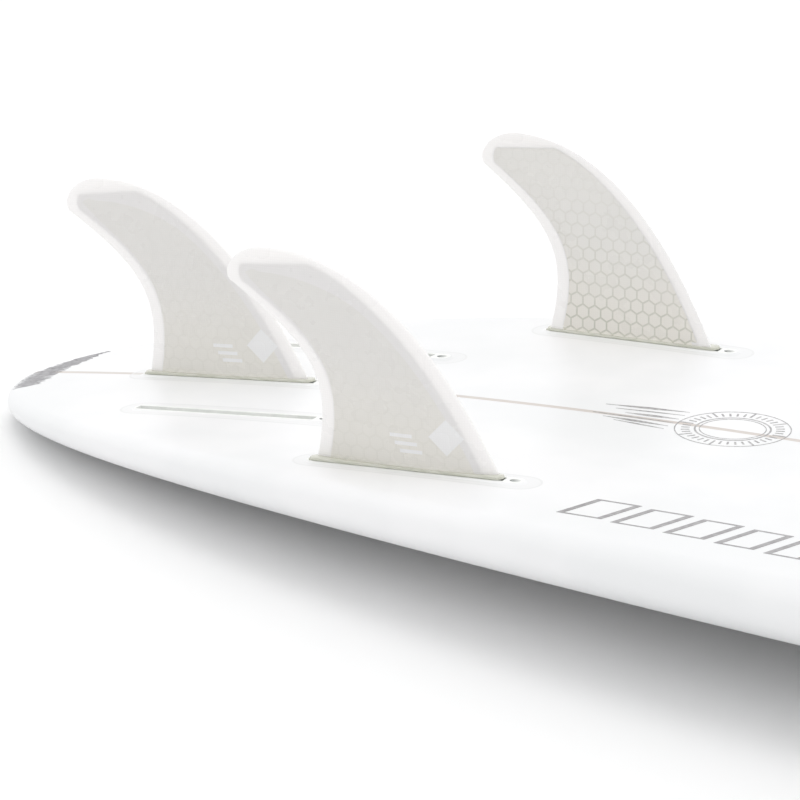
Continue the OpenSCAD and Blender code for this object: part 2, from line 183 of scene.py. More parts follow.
def stadium(from_x: float, to_x: float, width: float, count: int) -> tuple[Array, Array]:
    """A slot's outline, walked at even steps: two half circles joined by two straight lines.

    Args:
        from_x: Lowest x.
        to_x: Highest x.
        width: Size across.
        count: Number of points.

    Returns:
        The points and their outward directions, each count rows of x, y.
    """
    radius = width / 2
    half = (to_x - from_x) / 2 - radius
    walk = np.arange(count) / count * (4 * half + 2 * math.pi * radius)
    first_arc = np.clip(walk / radius, 0, math.pi)
    first_line = np.clip(walk - math.pi * radius, 0, 2 * half)
    second_arc = np.clip((walk - math.pi * radius - 2 * half) / radius, 0, math.pi)
    second_line = np.clip(walk - 2 * math.pi * radius - 2 * half, 0, 2 * half)
    angle = first_arc + second_arc - math.pi / 2
    outward = np.stack([np.cos(angle), np.sin(angle)], -1)
    middle = np.stack([(from_x + to_x) / 2 + half - first_line + second_line,
                       np.zeros(count)], -1)
    return middle + radius * outward, outward


# ---- Finishes ----

SMOOTH = {"interpolation_type": "SMOOTHSTEP"}
MIX = {"out": 2, "data_type": "RGBA"}


def linear(hex_code: str) -> tuple[float, float, float, float]:
    """Turns an sRGB hex colour into linear red, green, blue and alpha."""
    srgb = np.array([int(hex_code[k:k + 2], 16) for k in (1, 3, 5)]) / 255
    light = np.where(srgb <= 0.04045, srgb / 12.92, ((srgb + 0.055) / 1.055) ** 2.4)
    return (*light.tolist(), 1.0)


def add(tree: bpy.types.NodeTree, kind: str, inputs: dict, out: int | str = 0,
        **settings: object) -> Socket:
    """Adds a shader node with its settings, values and links.

    Args:
        tree: Node tree of a material or the world.
        kind: What follows "ShaderNode" in the node's type.
        inputs: A value, an sRGB hex colour or an output socket for each input, by its name
            or number.
        out: The output that is wanted, by name or number.
        settings: The node's own properties.

    Returns:
        The wanted output socket.
    """
    node = tree.nodes.new("ShaderNode" + kind)
    for key, value in settings.items():
        setattr(node, key, value)
    for key, value in inputs.items():
        if isinstance(value, bpy.types.NodeSocket):
            tree.links.new(value, node.inputs[key])
        else:
            node.inputs[key].default_value = linear(value) if isinstance(value, str) else value
    return node.outputs[out]


def fall(value: Socket, inside: float, outside: float) -> dict:
    """Inputs of a MapRange that is 1 up to the value inside and falls to 0 at the value outside."""
    return {0: value, 1: inside, 2: outside, 3: 1.0, 4: 0.0}


def weave(tree: bpy.types.NodeTree, place: Socket, spacing: float, turn: float = 0.0) -> Socket:
    """A plain weave's height: threads along x and y, each a band wave, spacing mm apart."""
    turned = add(tree, "Mapping", {"Vector": place, "Rotation": (0, 0, turn)})
    scale = 1 / (spacing * MM) / (20 / (2 * math.pi))
    warp = add(tree, "TexWave", {"Vector": turned, "Scale": scale, "Distortion": 0.3},
               out="Fac", bands_direction="X")
    weft = add(tree, "TexWave", {"Vector": turned, "Scale": scale, "Distortion": 0.3},
               out="Fac", bands_direction="Y")
    return add(tree, "Math", {0: warp, 1: weft}, operation="MULTIPLY")


@dataclass(frozen=True)
class Finish:
    """A real material. Each kind draws its own shader."""

    name: str

    def make(self) -> bpy.types.Material:
        """Makes the Blender material."""
        material = bpy.data.materials.new(self.name)
        material.use_nodes = True
        tree = material.node_tree
        tree.nodes.clear()
        add_output = tree.nodes.new("ShaderNodeOutputMaterial")
        tree.links.new(self.shader(tree), add_output.inputs["Surface"])
        return material

    def shader(self, tree: bpy.types.NodeTree) -> Socket:
        """Draws the shader and returns its output."""
        raise NotImplementedError


@dataclass(frozen=True)
class Pattern:
    """A noise: its cells to the metre along x, y and z, its octaves, and where it fades."""

    scale: tuple[float, float, float]
    detail: float = 2.0
    fade: tuple[float, float] = (0.35, 0.65)
    kind: str = "TexNoise"

    def draw(self, tree: bpy.types.NodeTree, place: Socket) -> Socket:
        """Adds the noise and returns its value."""
        scaled = add(tree, "Mapping", {"Vector": place, "Scale": self.scale})
        return add(tree, self.kind, {"Vector": scaled, "Scale": 1.0, "Detail": self.detail})


@dataclass(frozen=True)
class Mottled(Finish):
    """A material whose colour follows one pattern, and whose relief follows that or another.

    relief is the strength and the depth in metres. scuff is how far the roughness falls below
    and rises above rough with the relief's pattern. surface holds the shader's other numbers.
    """

    base: str
    other: str | None
    tone: Pattern
    grain: Pattern | None = None
    relief: tuple[float, float] | None = None
    rough: float = 0.5
    scuff: tuple[float, float] | None = None
    surface: tuple[tuple[str, float], ...] = ()

    def shader(self, tree: bpy.types.NodeTree) -> Socket:
        """Two colours mixed by the pattern, over relief."""
        place = add(tree, "TexCoord", {}, out="Object")
        tone = self.tone.draw(tree, place)
        grain = self.grain.draw(tree, place) if self.grain else tone
        inputs = {"Base Color": self.base, "Roughness": self.rough} | dict(self.surface)
        if self.other:
            share = add(tree, "MapRange", fall(tone, *self.tone.fade), **SMOOTH)
            inputs["Base Color"] = add(tree, "Mix", {0: share, 6: self.base, 7: self.other}, **MIX)
        if self.scuff:
            inputs["Roughness"] = add(tree, "MapRange", {0: grain, 3: self.rough - self.scuff[0],
                                                         4: self.rough + self.scuff[1]})
        if self.relief:
            inputs["Normal"] = add(tree, "Bump", {"Height": grain, "Strength": self.relief[0],
                                                  "Distance": self.relief[1]})
        return add(tree, "BsdfPrincipled", inputs)


def moulded(name: str, base: str, shade: str, rough: float) -> Mottled:
    """Injection-moulded plastic: even colour, a fine spark-eroded grain and slight clouding.

    The grain is 0.1 mm in fact and is drawn at 0.5 mm so that it can be seen.
    """
    return Mottled(name, base, shade, Pattern((120, 120, 120), 3.0),
                   Pattern((2000, 2000, 2000), 1.0), (0.25, 0.0001), rough)


def steel(name: str, base: str, dull: str, rough: float) -> Mottled:
    """Stainless steel: grey metal with fine lines from the tool and a few dull spots."""
    return Mottled(name, base, dull, Pattern((400, 400, 400), fade=(0.4, 0.7)),
                   Pattern((300, 3000, 3000)), (0.1, 0.0001), rough, (0.08, 0.15),
                   (("Metallic", 1.0),))


def ink(name: str, thin: str, base: str) -> Mottled:
    """Printed tissue or paint under resin: flat grey ink that is slightly uneven."""
    return Mottled(name, thin, base, Pattern((300, 300, 300), 3.0, (0.4, 0.65)), rough=0.3,
                   surface=(("Coat Weight", 0.25), ("Coat Roughness", 0.1)))


# Blown foam, machined to shape: matt off-white with fine cells and pores. The cells are 0.2 mm
# in fact and are drawn at 1.5 mm so that they can be seen.
FOAM = Mottled("polyurethane foam, machined", "#F1EEE4", "#DDD8C8",
               Pattern((660, 660, 660), fade=(0.1, 0.6), kind="TexVoronoi"),
               relief=(0.4, 0.0003), rough=0.9)
# Sawn along the grain: pale and matt with long straight grain, 1.5 mm apart.
TIMBER = Mottled("basswood, sawn", "#E3CFA8", "#B99A6B", Pattern((6, 600, 600), 5.0),
                 relief=(0.3, 0.0002), rough=0.65)
# Clear resin with glass fibre: a pale green tint, glossy, half see-through.
CLEAR_RESIN = Mottled("casting resin with glass fibre", "#E4E4D9", "#D4D5C7",
                      Pattern((60, 1400, 900), 3.0, (0.4, 0.62)), relief=(0.08, 0.0002),
                      rough=0.12, surface=(("IOR", 1.54), ("Transmission Weight", 0.15)))
# Matt white paper with a faint tooth, drawn at 4 mm.
PAPER = Mottled("background paper, matt", "#FBFBFB", None, Pattern((250, 250, 250)),
                relief=(0.05, 0.0002), rough=0.9, surface=(("Specular IOR Level", 0.1),))


@dataclass(frozen=True)
class Laminate(Finish):
    """Clear polyester resin over woven E-glass and white foam, sanded and gloss coated.

    It is a bright white with a soft gloss. The resin's surface has a slight long waviness, and the
    cloth's weave and the stringer show faintly through it. The weave is 0.6 mm in fact and is
    drawn at 2 mm so that it can be seen.
    """

    stringer_w: float = 4.5
    white: str = "#F3F3F4"
    shade: str = "#ECEDEE"
    wood: str = "#C9BFB8"
    flange: str = "#E3E4E4"
    lap_at: float = 48.0
    shows_lap: bool = False
    boxes: tuple = ()

    def shader(self, tree: bpy.types.NodeTree) -> Socket:
        """White with clouding, the stringer's line, the flanges' outlines and the lap's edge."""
        place = add(tree, "TexCoord", {}, out="Object")
        cloud = add(tree, "TexNoise", {"Vector": place, "Scale": 9.0, "Detail": 3.0})
        shaded = add(tree, "MapRange", fall(cloud, 0.35, 0.65), **SMOOTH)
        colour = add(tree, "Mix", {0: shaded, 6: self.white, 7: self.shade}, **MIX)
        x = add(tree, "SeparateXYZ", {0: place}, out=0)
        y = add(tree, "SeparateXYZ", {0: place}, out=1)
        side = add(tree, "Math", {0: y}, operation="ABSOLUTE")
        grain_at = add(tree, "Mapping", {"Vector": place, "Scale": (8, 900, 40)})
        grain = add(tree, "TexNoise", {"Vector": grain_at, "Scale": 1.0, "Detail": 4.0})
        half = self.stringer_w / 2
        on_stringer = add(tree, "MapRange", fall(side, (half - 0.3) * MM, (half + 0.3) * MM),
                          **SMOOTH)
        faint = add(tree, "MapRange", {"Value": grain, "From Min": 0.3, "From Max": 0.7,
                                       "To Min": 0.75, "To Max": 1.0})
        line = add(tree, "Math", {0: on_stringer, 1: faint}, operation="MULTIPLY")
        colour = add(tree, "Mix", {0: line, 6: colour, 7: self.wood}, **MIX)
        for at_x, at_y, toe, low_x, high_x, width in self.boxes:
            folded = add(tree, "CombineXYZ", {0: x, 1: side if at_y else y})
            local = add(tree, "Mapping", {"Vector": folded, "Location": (at_x, at_y, 0),
                                          "Rotation": (0, 0, toe), "Scale": (MM, MM, 1)},
                        vector_type="TEXTURE")
            near = add(tree, "VectorMath", {0: local, 1: (low_x, 0, 0), 2: (high_x, 0, 0)},
                       operation="MAXIMUM")
            near = add(tree, "VectorMath", {0: near, 1: (high_x, 0, 0)}, operation="MINIMUM")
            near = add(tree, "VectorMath", {0: near, 1: (1, 0, 0)}, operation="MULTIPLY")
            gap = add(tree, "VectorMath", {0: local, 1: near}, out="Value", operation="DISTANCE")
            off = add(tree, "Math", {0: gap, 1: width / 2}, operation="SUBTRACT")
            beside = add(tree, "Math", {0: off}, operation="ABSOLUTE")
            edge = add(tree, "MapRange", fall(beside, 0.2, 1.1), **SMOOTH)
            within = add(tree, "MapRange", fall(off, -0.4, 0.6), **SMOOTH)
            shown = add(tree, "Math", {0: edge, 1: within}, operation="MAXIMUM")
            soft = add(tree, "Math", {0: shown, 1: 0.35, 2: 0.0}, operation="MULTIPLY_ADD")
            soft = add(tree, "Math", {0: edge, 1: 0.45, 2: soft}, operation="MULTIPLY_ADD")
            colour = add(tree, "Mix", {0: soft, 6: colour, 7: self.flange}, **MIX)
        height = add(tree, "TexNoise", {"Vector": place, "Scale": 14.0, "Detail": 1.0})
        if self.shows_lap:
            inward = add(tree, "Attribute", {}, out="Fac", attribute_name="from_edge")
            wander = add(tree, "TexNoise", {"Vector": place, "Scale": 40.0})
            ragged = add(tree, "Math", {0: wander, 1: 3.0, 2: inward}, operation="MULTIPLY_ADD")
            away = add(tree, "Math", {0: ragged, 1: self.lap_at + 1.5}, operation="SUBTRACT")
            beside = add(tree, "Math", {0: away}, operation="ABSOLUTE")
            seam = add(tree, "MapRange", fall(beside, 0.3, 1.2), **SMOOTH)
            seam = add(tree, "Math", {0: seam, 1: 0.5}, operation="MULTIPLY")
            colour = add(tree, "Mix", {0: seam, 6: colour, 7: self.flange}, **MIX)
        cloth = weave(tree, place, 2.0, math.pi / 4)
        swell = add(tree, "Bump", {"Height": height, "Strength": 0.05, "Distance": 0.002})
        relief = add(tree, "Bump", {"Height": cloth, "Strength": 0.05, "Distance": 0.0001,
                                    "Normal": swell})
        rough = add(tree, "MapRange", {"Value": cloud, "To Min": 0.32, "To Max": 0.45})
        return add(tree, "BsdfPrincipled", {"Base Color": colour, "Roughness": rough, "IOR": 1.5,
                                            "Normal": relief, "Coat Weight": 0.12,
                                            "Coat Roughness": 0.15})


@dataclass(frozen=True)
class FinGlass(Finish):
    """A fin's face: milky resin and glass cloth over a paper honeycomb, polished.

    The solid rim is a bluish milky white and lets light through. Inside it the honeycomb shows as
    six-sided cells 8.5 mm apart with thin walls, clearest low down, and the cloth's weave shows
    over it. The weave is 0.5 mm in fact and is drawn at 1.4 mm so that it can be seen.
    """

    cell: float = 8.5
    wall: float = 0.95
    wall_show: float = 0.85
    has_mark: bool = False
    rim: str = "#F4F2F1"
    upper: str = "#EFEDE9"
    # Core tone at the root: warmer, and painted lighter to lift the shade near the board.
    root_lightened: str = "#F3F0E8"
    wall_colour: str = "#C3C3B4"
    mark_colour: str = "#FFFFFF"

    def cells(self, tree: bpy.types.NodeTree, plane: Socket) -> Socket:
        """Distance in cells from the nearest cell wall.

        The plane is cut into two sets of rectangles whose middles are the cells' middles. The
        nearer middle is the point's own cell, and the distance to its six sides is a half less
        the larger of |x| and |x|/2 + |y| * 0.866.
        """
        pair = (1.0, math.sqrt(3), 1.0)
        scaled = add(tree, "VectorMath", {0: plane, 1: (1 / self.cell / MM,) * 3},
                     operation="MULTIPLY")
        moved = add(tree, "VectorMath", {0: scaled, 1: (100.0, 60 * pair[1], 0)}, operation="ADD")
        middles = []
        for shift in (0.0, 0.5):
            away = add(tree, "VectorMath", {0: moved, 1: (shift, shift * pair[1], 0)},
                       operation="SUBTRACT")
            cut = add(tree, "VectorMath", {0: away, 1: pair}, operation="MODULO")
            middles.append(add(tree, "VectorMath", {0: cut, 1: (0.5, pair[1] / 2, 0)},
                               operation="SUBTRACT"))
        far = [add(tree, "VectorMath", {0: m}, out="Value", operation="LENGTH") for m in middles]
        second = add(tree, "Math", {0: far[1], 1: far[0]}, operation="LESS_THAN")
        own = add(tree, "Mix", {"Factor": second, 4: middles[0], 5: middles[1]}, out=1,
                  data_type="VECTOR")
        own = add(tree, "VectorMath", {0: own}, operation="ABSOLUTE")
        slant = add(tree, "VectorMath", {0: own, 1: (0.5, math.sqrt(0.75), 0)}, out="Value",
                    operation="DOT_PRODUCT")
        level = add(tree, "SeparateXYZ", {0: own}, out=0)
        reach = add(tree, "Math", {0: slant, 1: level}, operation="MAXIMUM")
        return add(tree, "Math", {0: 0.5, 1: reach}, operation="SUBTRACT")

    def mark(self, tree: bpy.types.NodeTree, plane: Socket) -> Socket:
        """A plain pale lozenge low on the face, with three short bars behind it, as a mask."""
        total = None
        for (mid_x, mid_z), (half_x, half_z), turn in (
                ((27, 22), (7.5, 7.5), math.pi / 4), ((5, 12), (7, 1.1), 0.0),
                ((2, 16.5), (7, 1.1), 0.0), ((-1, 21), (7, 1.1), 0.0)):
            local = add(tree, "Mapping", {"Vector": plane, "Location": (mid_x * MM, mid_z * MM, 0),
                                          "Rotation": (0, 0, turn),
                                          "Scale": (half_x * MM, half_z * MM, 1)},
                        vector_type="TEXTURE")
            size = add(tree, "VectorMath", {0: local}, operation="ABSOLUTE")
            across = add(tree, "SeparateXYZ", {0: size}, out=0)
            up = add(tree, "SeparateXYZ", {0: size}, out=1)
            reach = add(tree, "Math", {0: across, 1: up}, operation="MAXIMUM")
            inside = add(tree, "MapRange", fall(reach, 0.94, 1.06), **SMOOTH)
            total = inside if total is None else add(tree, "Math", {0: total, 1: inside},
                                                     operation="MAXIMUM")
        return total

    def shader(self, tree: bpy.types.NodeTree) -> Socket:
        """Milky rim, core tone that is warmer towards the root and painted lighter there against
        shade, cell walls, weave and the mark.
        """
        plane = add(tree, "UVMap", {}, uv_map="plane")
        depth = add(tree, "Attribute", {}, out="Fac", attribute_name="core")
        height = add(tree, "SeparateXYZ", {0: plane}, out=1)
        cloud = add(tree, "TexNoise", {"Vector": plane, "Scale": 45.0, "Detail": 4.0})
        # Painted light: the core lightens towards the root, where the board shades it.
        root_lightening = add(tree, "MapRange", fall(height, 8 * MM, 75 * MM), **SMOOTH)
        core = add(tree, "Mix", {0: root_lightening, 6: self.upper, 7: self.root_lightened}, **MIX)
        gap = self.cells(tree, plane)
        half = self.wall / self.cell / 2
        walls = add(tree, "MapRange", fall(gap, half * 0.5, half * 1.8), **SMOOTH)
        fade = add(tree, "MapRange", {"Value": height, "From Min": 10 * MM, "From Max": 95 * MM,
                                      "To Min": self.wall_show, "To Max": self.wall_show * 0.1})
        patchy = add(tree, "MapRange", {"Value": cloud, "From Min": 0.3, "From Max": 0.7,
                                        "To Min": 0.55, "To Max": 1.0})
        shown = add(tree, "Math", {0: walls, 1: fade}, operation="MULTIPLY")
        shown = add(tree, "Math", {0: shown, 1: patchy}, operation="MULTIPLY")
        core = add(tree, "Mix", {0: shown, 6: core, 7: self.wall_colour}, **MIX)
        in_core = add(tree, "MapRange", fall(depth, 0.5, -0.5), **SMOOTH)
        core_share = add(tree, "Math", {0: 1.0, 1: in_core}, operation="SUBTRACT")
        colour = add(tree, "Mix", {0: core_share, 6: core, 7: self.rim}, **MIX)
        if self.has_mark:
            mark = self.mark(tree, plane)
            colour = add(tree, "Mix", {0: mark, 6: colour, 7: self.mark_colour}, **MIX)
        cloth = weave(tree, plane, 1.4)
        tone = add(tree, "MapRange", {"Value": cloth, "To Min": 0.965, "To Max": 1.0})
        colour = add(tree, "Mix", {"Factor": 1.0, 6: colour, 7: tone}, out=2, data_type="RGBA",
                     blend_type="MULTIPLY")
        relief = add(tree, "Bump", {"Height": cloth, "Strength": 0.12, "Distance": 0.0001})
        rough = add(tree, "MapRange", {"Value": cloud, "To Min": 0.22, "To Max": 0.34})
        return add(tree, "BsdfPrincipled", {
            "Base Color": colour, "Roughness": rough, "IOR": 1.5, "Normal": relief,
            "Subsurface Weight": 0.35, "Subsurface Radius": (1.0, 1.0, 1.0),
            "Subsurface Scale": 0.004})


@dataclass(frozen=True)
class Honeycomb(Finish):
    """Resin-dipped paper honeycomb: pale grey-green walls round darker cells, matt."""

    cell: float = 8.5
    wall: str = "#C3C7BA"
    hollow: str = "#DAD8CE"

    def shader(self, tree: bpy.types.NodeTree) -> Socket:
        """The same cells as the fin's face shows, in colour and relief."""
        plane = add(tree, "UVMap", {}, uv_map="plane")
        gap = FinGlass("cells", cell=self.cell).cells(tree, plane)
        walls = add(tree, "MapRange", fall(gap, 0.03, 0.08), **SMOOTH)
        colour = add(tree, "Mix", {0: walls, 6: self.hollow, 7: self.wall}, **MIX)
        relief = add(tree, "Bump", {"Height": walls, "Strength": 0.6, "Distance": 0.001})
        return add(tree, "BsdfPrincipled", {"Base Color": colour, "Roughness": 0.7,
                                            "Normal": relief})


# ---- The board's shape ----

@dataclass(frozen=True)
class BoardForm:
    """The rule of the board's shape, with x measured in millimetres from the tail end."""

    length: float = 1778.0
    width: float = 495.0
    wide_x: float = 860.0
    tail_power: float = 2.05
    nose_point: float = 0.85
    mid_t: float = 63.5
    tail_t: float = 18.0
    nose_t: float = 12.0
    tail_rocker: float = 53.0
    nose_rocker: float = 115.0
    concave: float = 2.8
    drop_tail: float = 5.4
    drop_mid: float = 14.0
    tail_foil: float = 2.6
    nose_foil: float = 2.0
    tail_curve: float = 2.85
    nose_curve: float = 2.6
    edge_ratio: float = 1.3
    deck_power: float = 0.85
    side_power: float = 0.8
    lap_angle: float = 30.0
    end_round: float = 12.0

    def runs(self, x: Array) -> tuple[Array, Array]:
        """Shares of the way from the widest point to the tail and to the nose, 0 elsewhere."""
        return (np.clip(1 - x / self.wide_x, 0, 1),
                np.clip((x - self.wide_x) / (self.length - self.wide_x), 0, 1))

    def half_w(self, x: Array) -> Array:
        """Half the width: W/2 * sqrt(1 - t^p) to the tail and W/2 * (1 - n^2)^q to the nose."""
        tail, nose = self.runs(x)
        return self.width / 2 * np.where(x < self.wide_x, np.sqrt(1 - tail ** self.tail_power),
                                         (1 - nose ** 2) ** self.nose_point)

    def thickness(self, x: Array) -> Array:
        """Thickness on the stringer, falling from the middle by a power of each run."""
        tail, nose = self.runs(x)
        return (self.mid_t - (self.mid_t - self.tail_t) * tail ** self.tail_foil
                - (self.mid_t - self.nose_t) * nose ** self.nose_foil)

    def middle_z(self, x: Array) -> Array:
        """Height of the bottom on the stringer: a pitched line less the rocker of each end."""
        tail, nose = self.runs(x)
        lift = self.tail_rocker + self.tail_t
        pitch = (self.nose_rocker + self.nose_t - lift) / self.length
        return (lift + pitch * x - self.tail_rocker * tail ** self.tail_curve
                - self.nose_rocker * nose ** self.nose_curve)

    def hollow(self, x: Array) -> Array:
        """Depth of the concave, which fades out at both ends."""
        return self.concave * (1 - np.abs(2 * x / self.length - 1) ** 6)

    def drop(self, x: Array) -> Array:
        """Depth of the widest line below the bottom."""
        growing = self.drop_tail + (self.drop_mid - self.drop_tail) * x / self.wide_x
        return np.minimum(np.minimum(self.drop_mid, growing), 0.42 * self.thickness(x))

    def edge_w(self, x: Array) -> Array:
        """Width of the rounded edge across a section."""
        return np.minimum(self.edge_ratio * self.drop(x), 0.4 * self.half_w(x))

    def inward(self, x: Array, y: Array) -> Array:
        """Distance in plan from a point to the board's outline.

        It is the smaller of the distance to the nearest of many outline points and the distance
        to the tangent abreast of the point, which is the exact one close to the outline.
        """
        turn = np.linspace(0, math.pi, 1801)
        rim_x = self.length * (1 - np.cos(turn)) / 2
        rim_w = self.half_w(rim_x)
        flat_x, flat_y = np.ravel(x).astype(np.float32), np.abs(np.ravel(y)).astype(np.float32)
        nearest = np.concatenate([
            np.sqrt(((part_x[:, None] - rim_x) ** 2 + (part_y[:, None] - rim_w) ** 2).min(1))
            for part_x, part_y in zip(np.array_split(flat_x, 40), np.array_split(flat_y, 40))])
        step = 0.05
        slope = (self.half_w(np.clip(flat_x + step, 0, self.length))
                 - self.half_w(np.clip(flat_x - step, 0, self.length))) / (2 * step)
        tangent = np.maximum(self.half_w(flat_x) - flat_y, 0) / np.sqrt(1 + slope ** 2)
        return np.minimum(nearest, tangent).reshape(np.shape(x))

    def bottom(self, x: Array, y: Array, inward: Array | None = None) -> Array:
        """Height of the bottom, with the hard edge's quarter ellipse measured from the outline.

        The concave raises the height with the square of y. Within the edge's width w of the
        outline, the height falls by drop * (1 - sqrt(1 - ((w - distance) / w)^2)).
        """
        half = np.maximum(self.half_w(x), 1e-6)
        inward = self.inward(x, y) if inward is None else inward
        across = np.minimum(np.abs(y), half - self.edge_w(x)) / half
        tail_edge = self.edge_ratio * self.drop(x)
        edge = np.where(x < self.wide_x, tail_edge, np.maximum(self.edge_w(x), 2.5))
        past = np.clip((edge - inward) / edge, 0, 1)
        return (self.middle_z(x) + self.hollow(x) * across ** 2
                - self.drop(x) * (1 - np.sqrt(1 - past ** 2)))

    def deck(self, x: Array, y: Array, inward: Array) -> Array:
        """Height of the deck: a flattened dome below the widest line, rounded at the two ends.

        The dome's share of the depth is (1 - (|y| / half width)^2.5)^0.425. Close to an end the
        share is no more than a quarter circle of the end's radius allows, blended smoothly.
        """
        half = np.maximum(self.half_w(x), 1e-6)
        edge_z = self.middle_z(x) + self.hollow(x) * (1 - self.edge_w(x) / half) ** 2
        top = edge_z - self.drop(x)
        low = self.middle_z(x) - self.thickness(x)
        across = np.clip(np.abs(y) / half, 0, 1) ** (1 / self.side_power)
        dome = np.maximum(1 - across ** 2, 0) ** (self.deck_power / 2)
        near = inward / self.end_round
        end = np.sqrt(1 - (1 - np.clip(near, 0, 1)) ** 2) + np.maximum(near - 1, 0)
        soft = 0.08
        share = np.minimum(dome, end) - soft / 4 * np.maximum(1 - np.abs(dome - end) / soft,
                                                              0) ** 2
        return top - (top - low) * np.maximum(share, 0)

    def roll(self, x: float, y: float) -> float:
        """Sideways slope of the bottom, in radians, which the concave gives it."""
        return math.atan(2 * float(self.hollow(np.array(x))) * y
                         / float(self.half_w(np.array(x))) ** 2)

    def world(self, x: Array, y: Array, z: Array) -> Array:
        """Points with x from the tail end, as rows of x, y, z in the board's frame."""
        x, y, z = np.broadcast_arrays(x, y, z)
        return np.stack([x - self.length / 2, y, z], -1)


BOARD = BoardForm()


class Side(Enum):
    """Where a fin box sits; the value is the sign of Y of its mirror image."""

    LEFT = 1
    CENTRE = 0
    RIGHT = -1


@dataclass(frozen=True)
class BoxPlace:
    """A fin box's frame: +X along its slot to the nose, +Z out of the bottom."""

    name: str
    side: Side
    x: float
    y: float
    toe: float
    depth: float

    def to_world(self, points: Array) -> Array:
        """Turns points from the box's frame to the board's: roll, then slope, then toe."""
        x, y = self.x, self.y
        half = float(BOARD.half_w(np.array(x)))
        slope = math.atan(float(BOARD.middle_z(np.array(x + 1.0))
                                - BOARD.middle_z(np.array(x - 1.0))) / 2)
        turn = (Matrix.Rotation(math.radians(self.toe), 3, "Z")
                @ Matrix.Rotation(-slope, 3, "Y") @ Matrix.Rotation(-BOARD.roll(x, y), 3, "X"))
        up = float(BOARD.middle_z(np.array(x)) + BOARD.hollow(np.array(x)) * (y / half) ** 2)
        moved = points @ np.array(turn).T + np.array([x - BOARD.length / 2, -y, up])
        return moved * np.array([1, -1 if self.side is Side.RIGHT else 1, 1])


PLACES = (
    BoxPlace("centre", Side.CENTRE, 147.0, 0.0, 0.0, 12.7),
    BoxPlace("left_front", Side.LEFT, 349.5, 148.0, 2.9, 19.0),
    BoxPlace("right_front", Side.RIGHT, 349.5, 148.0, 2.9, 19.0),
    BoxPlace("left_rear", Side.LEFT, 188.5, 75.7, 1.7, 12.7),
    BoxPlace("right_rear", Side.RIGHT, 188.5, 75.7, 1.7, 12.7),
)


# ---- Sub-assemblies ----

@dataclass
class FinBoxes:
    """Five moulded boxes with a slot and a screw mouth, and the resin bead round each lip."""

    slot_len: float = 121.2
    slot_w: float = 6.6
    lip_wall: float = 1.9
    lip_h: float = 0.2
    box_wall: float = 2.6
    flange_w: float = 25.0
    front: float = 72.5
    gap: float = 0.05
    cut_reach: float = 4.0
    bead_w: float = 1.8
    bead_root: float = 0.35
    cut_points: int = 96
    bead_points: int = 128

    def lip(self, grow: float, count: int) -> Array:
        """The lip's outline, grown outwards."""
        return stadium(-self.slot_len / 2 - self.lip_wall - grow, self.front + grow,
                       self.slot_w + 2 * (self.lip_wall + grow), count)[0]

    def flange_row(self, place: BoxPlace) -> tuple[float, ...]:
        """A flange's place, toe and the ends of its middle line, as the laminate draws it."""
        reach = self.box_wall + (self.flange_w - self.slot_w - 2 * self.box_wall) / 2
        toe = math.radians(place.toe) * (0 if place.side is Side.CENTRE else -1)
        return ((place.x - BOARD.length / 2) * MM, place.y * MM, toe,
                -self.slot_len / 2 - reach + self.flange_w / 2,
                self.front + reach - self.flange_w / 2, self.flange_w)

    def cutter(self, place: BoxPlace) -> bpy.types.Object:
        """A prism through the glass: the lip's outline between two heights, closed at its ends."""
        outline = self.lip(self.gap, self.cut_points)
        middle = np.broadcast_to(outline.mean(0), outline.shape)
        rings = np.concatenate([raised(flat, z * self.cut_reach) for flat, z in (
            (middle, -1), (outline, -1), (outline, 1), (middle, 1))])
        return make_piece("cutter", place.to_world(rings),
                          grid_quads(4, self.cut_points, wrap_cols=True), [])

    def bead(self, place: BoxPlace, resin: bpy.types.Material) -> bpy.types.Object:
        """The ramp of resin round a lip.

        It runs from the lip's top edge outwards to the board's surface, swelling a little on the
        way, and its underside lies below the surface.
        """
        rows = []
        for share, rise in ((0, 1.0), (0.35, 0.62), (0.7, 0.22), (1, 0.0), (1, -1.0), (0, -1.0)):
            flat = self.lip(share * self.bead_w, self.bead_points)
            top = place.to_world(raised(flat, self.lip_h))
            ground = BOARD.bottom(top[:, 0] + BOARD.length / 2, top[:, 1])
            proud = 0.03 + rise * np.maximum(top[:, 2] - ground, 0.06)
            up = ground - self.bead_root if rise < 0 else ground + proud
            rows.append(np.stack([top[:, 0], top[:, 1], up], -1))
        return make_piece(f"box_{place.name}_bead", np.stack(rows),
                          grid_quads(6, self.bead_points, wrap_rows=True, wrap_cols=True),
                          [resin], sharp_angle=60)

    def build(self, resin: bpy.types.Material) -> None:
        """Makes the beads and dresses the CAD boxes and screws."""
        plastic = moulded("glass-filled nylon, moulded", "#FAFBF9", "#F3F5F2", 0.42).make()
        metal = steel("stainless steel, turned", "#C4C6C8", "#A4A7AA", 0.3).make()
        for place in PLACES:
            hand_over(self.bead(place, resin), "board", "board_glass")
            dress(f"box_{place.name}", plastic)
            dress(f"screw_{place.name}", metal)


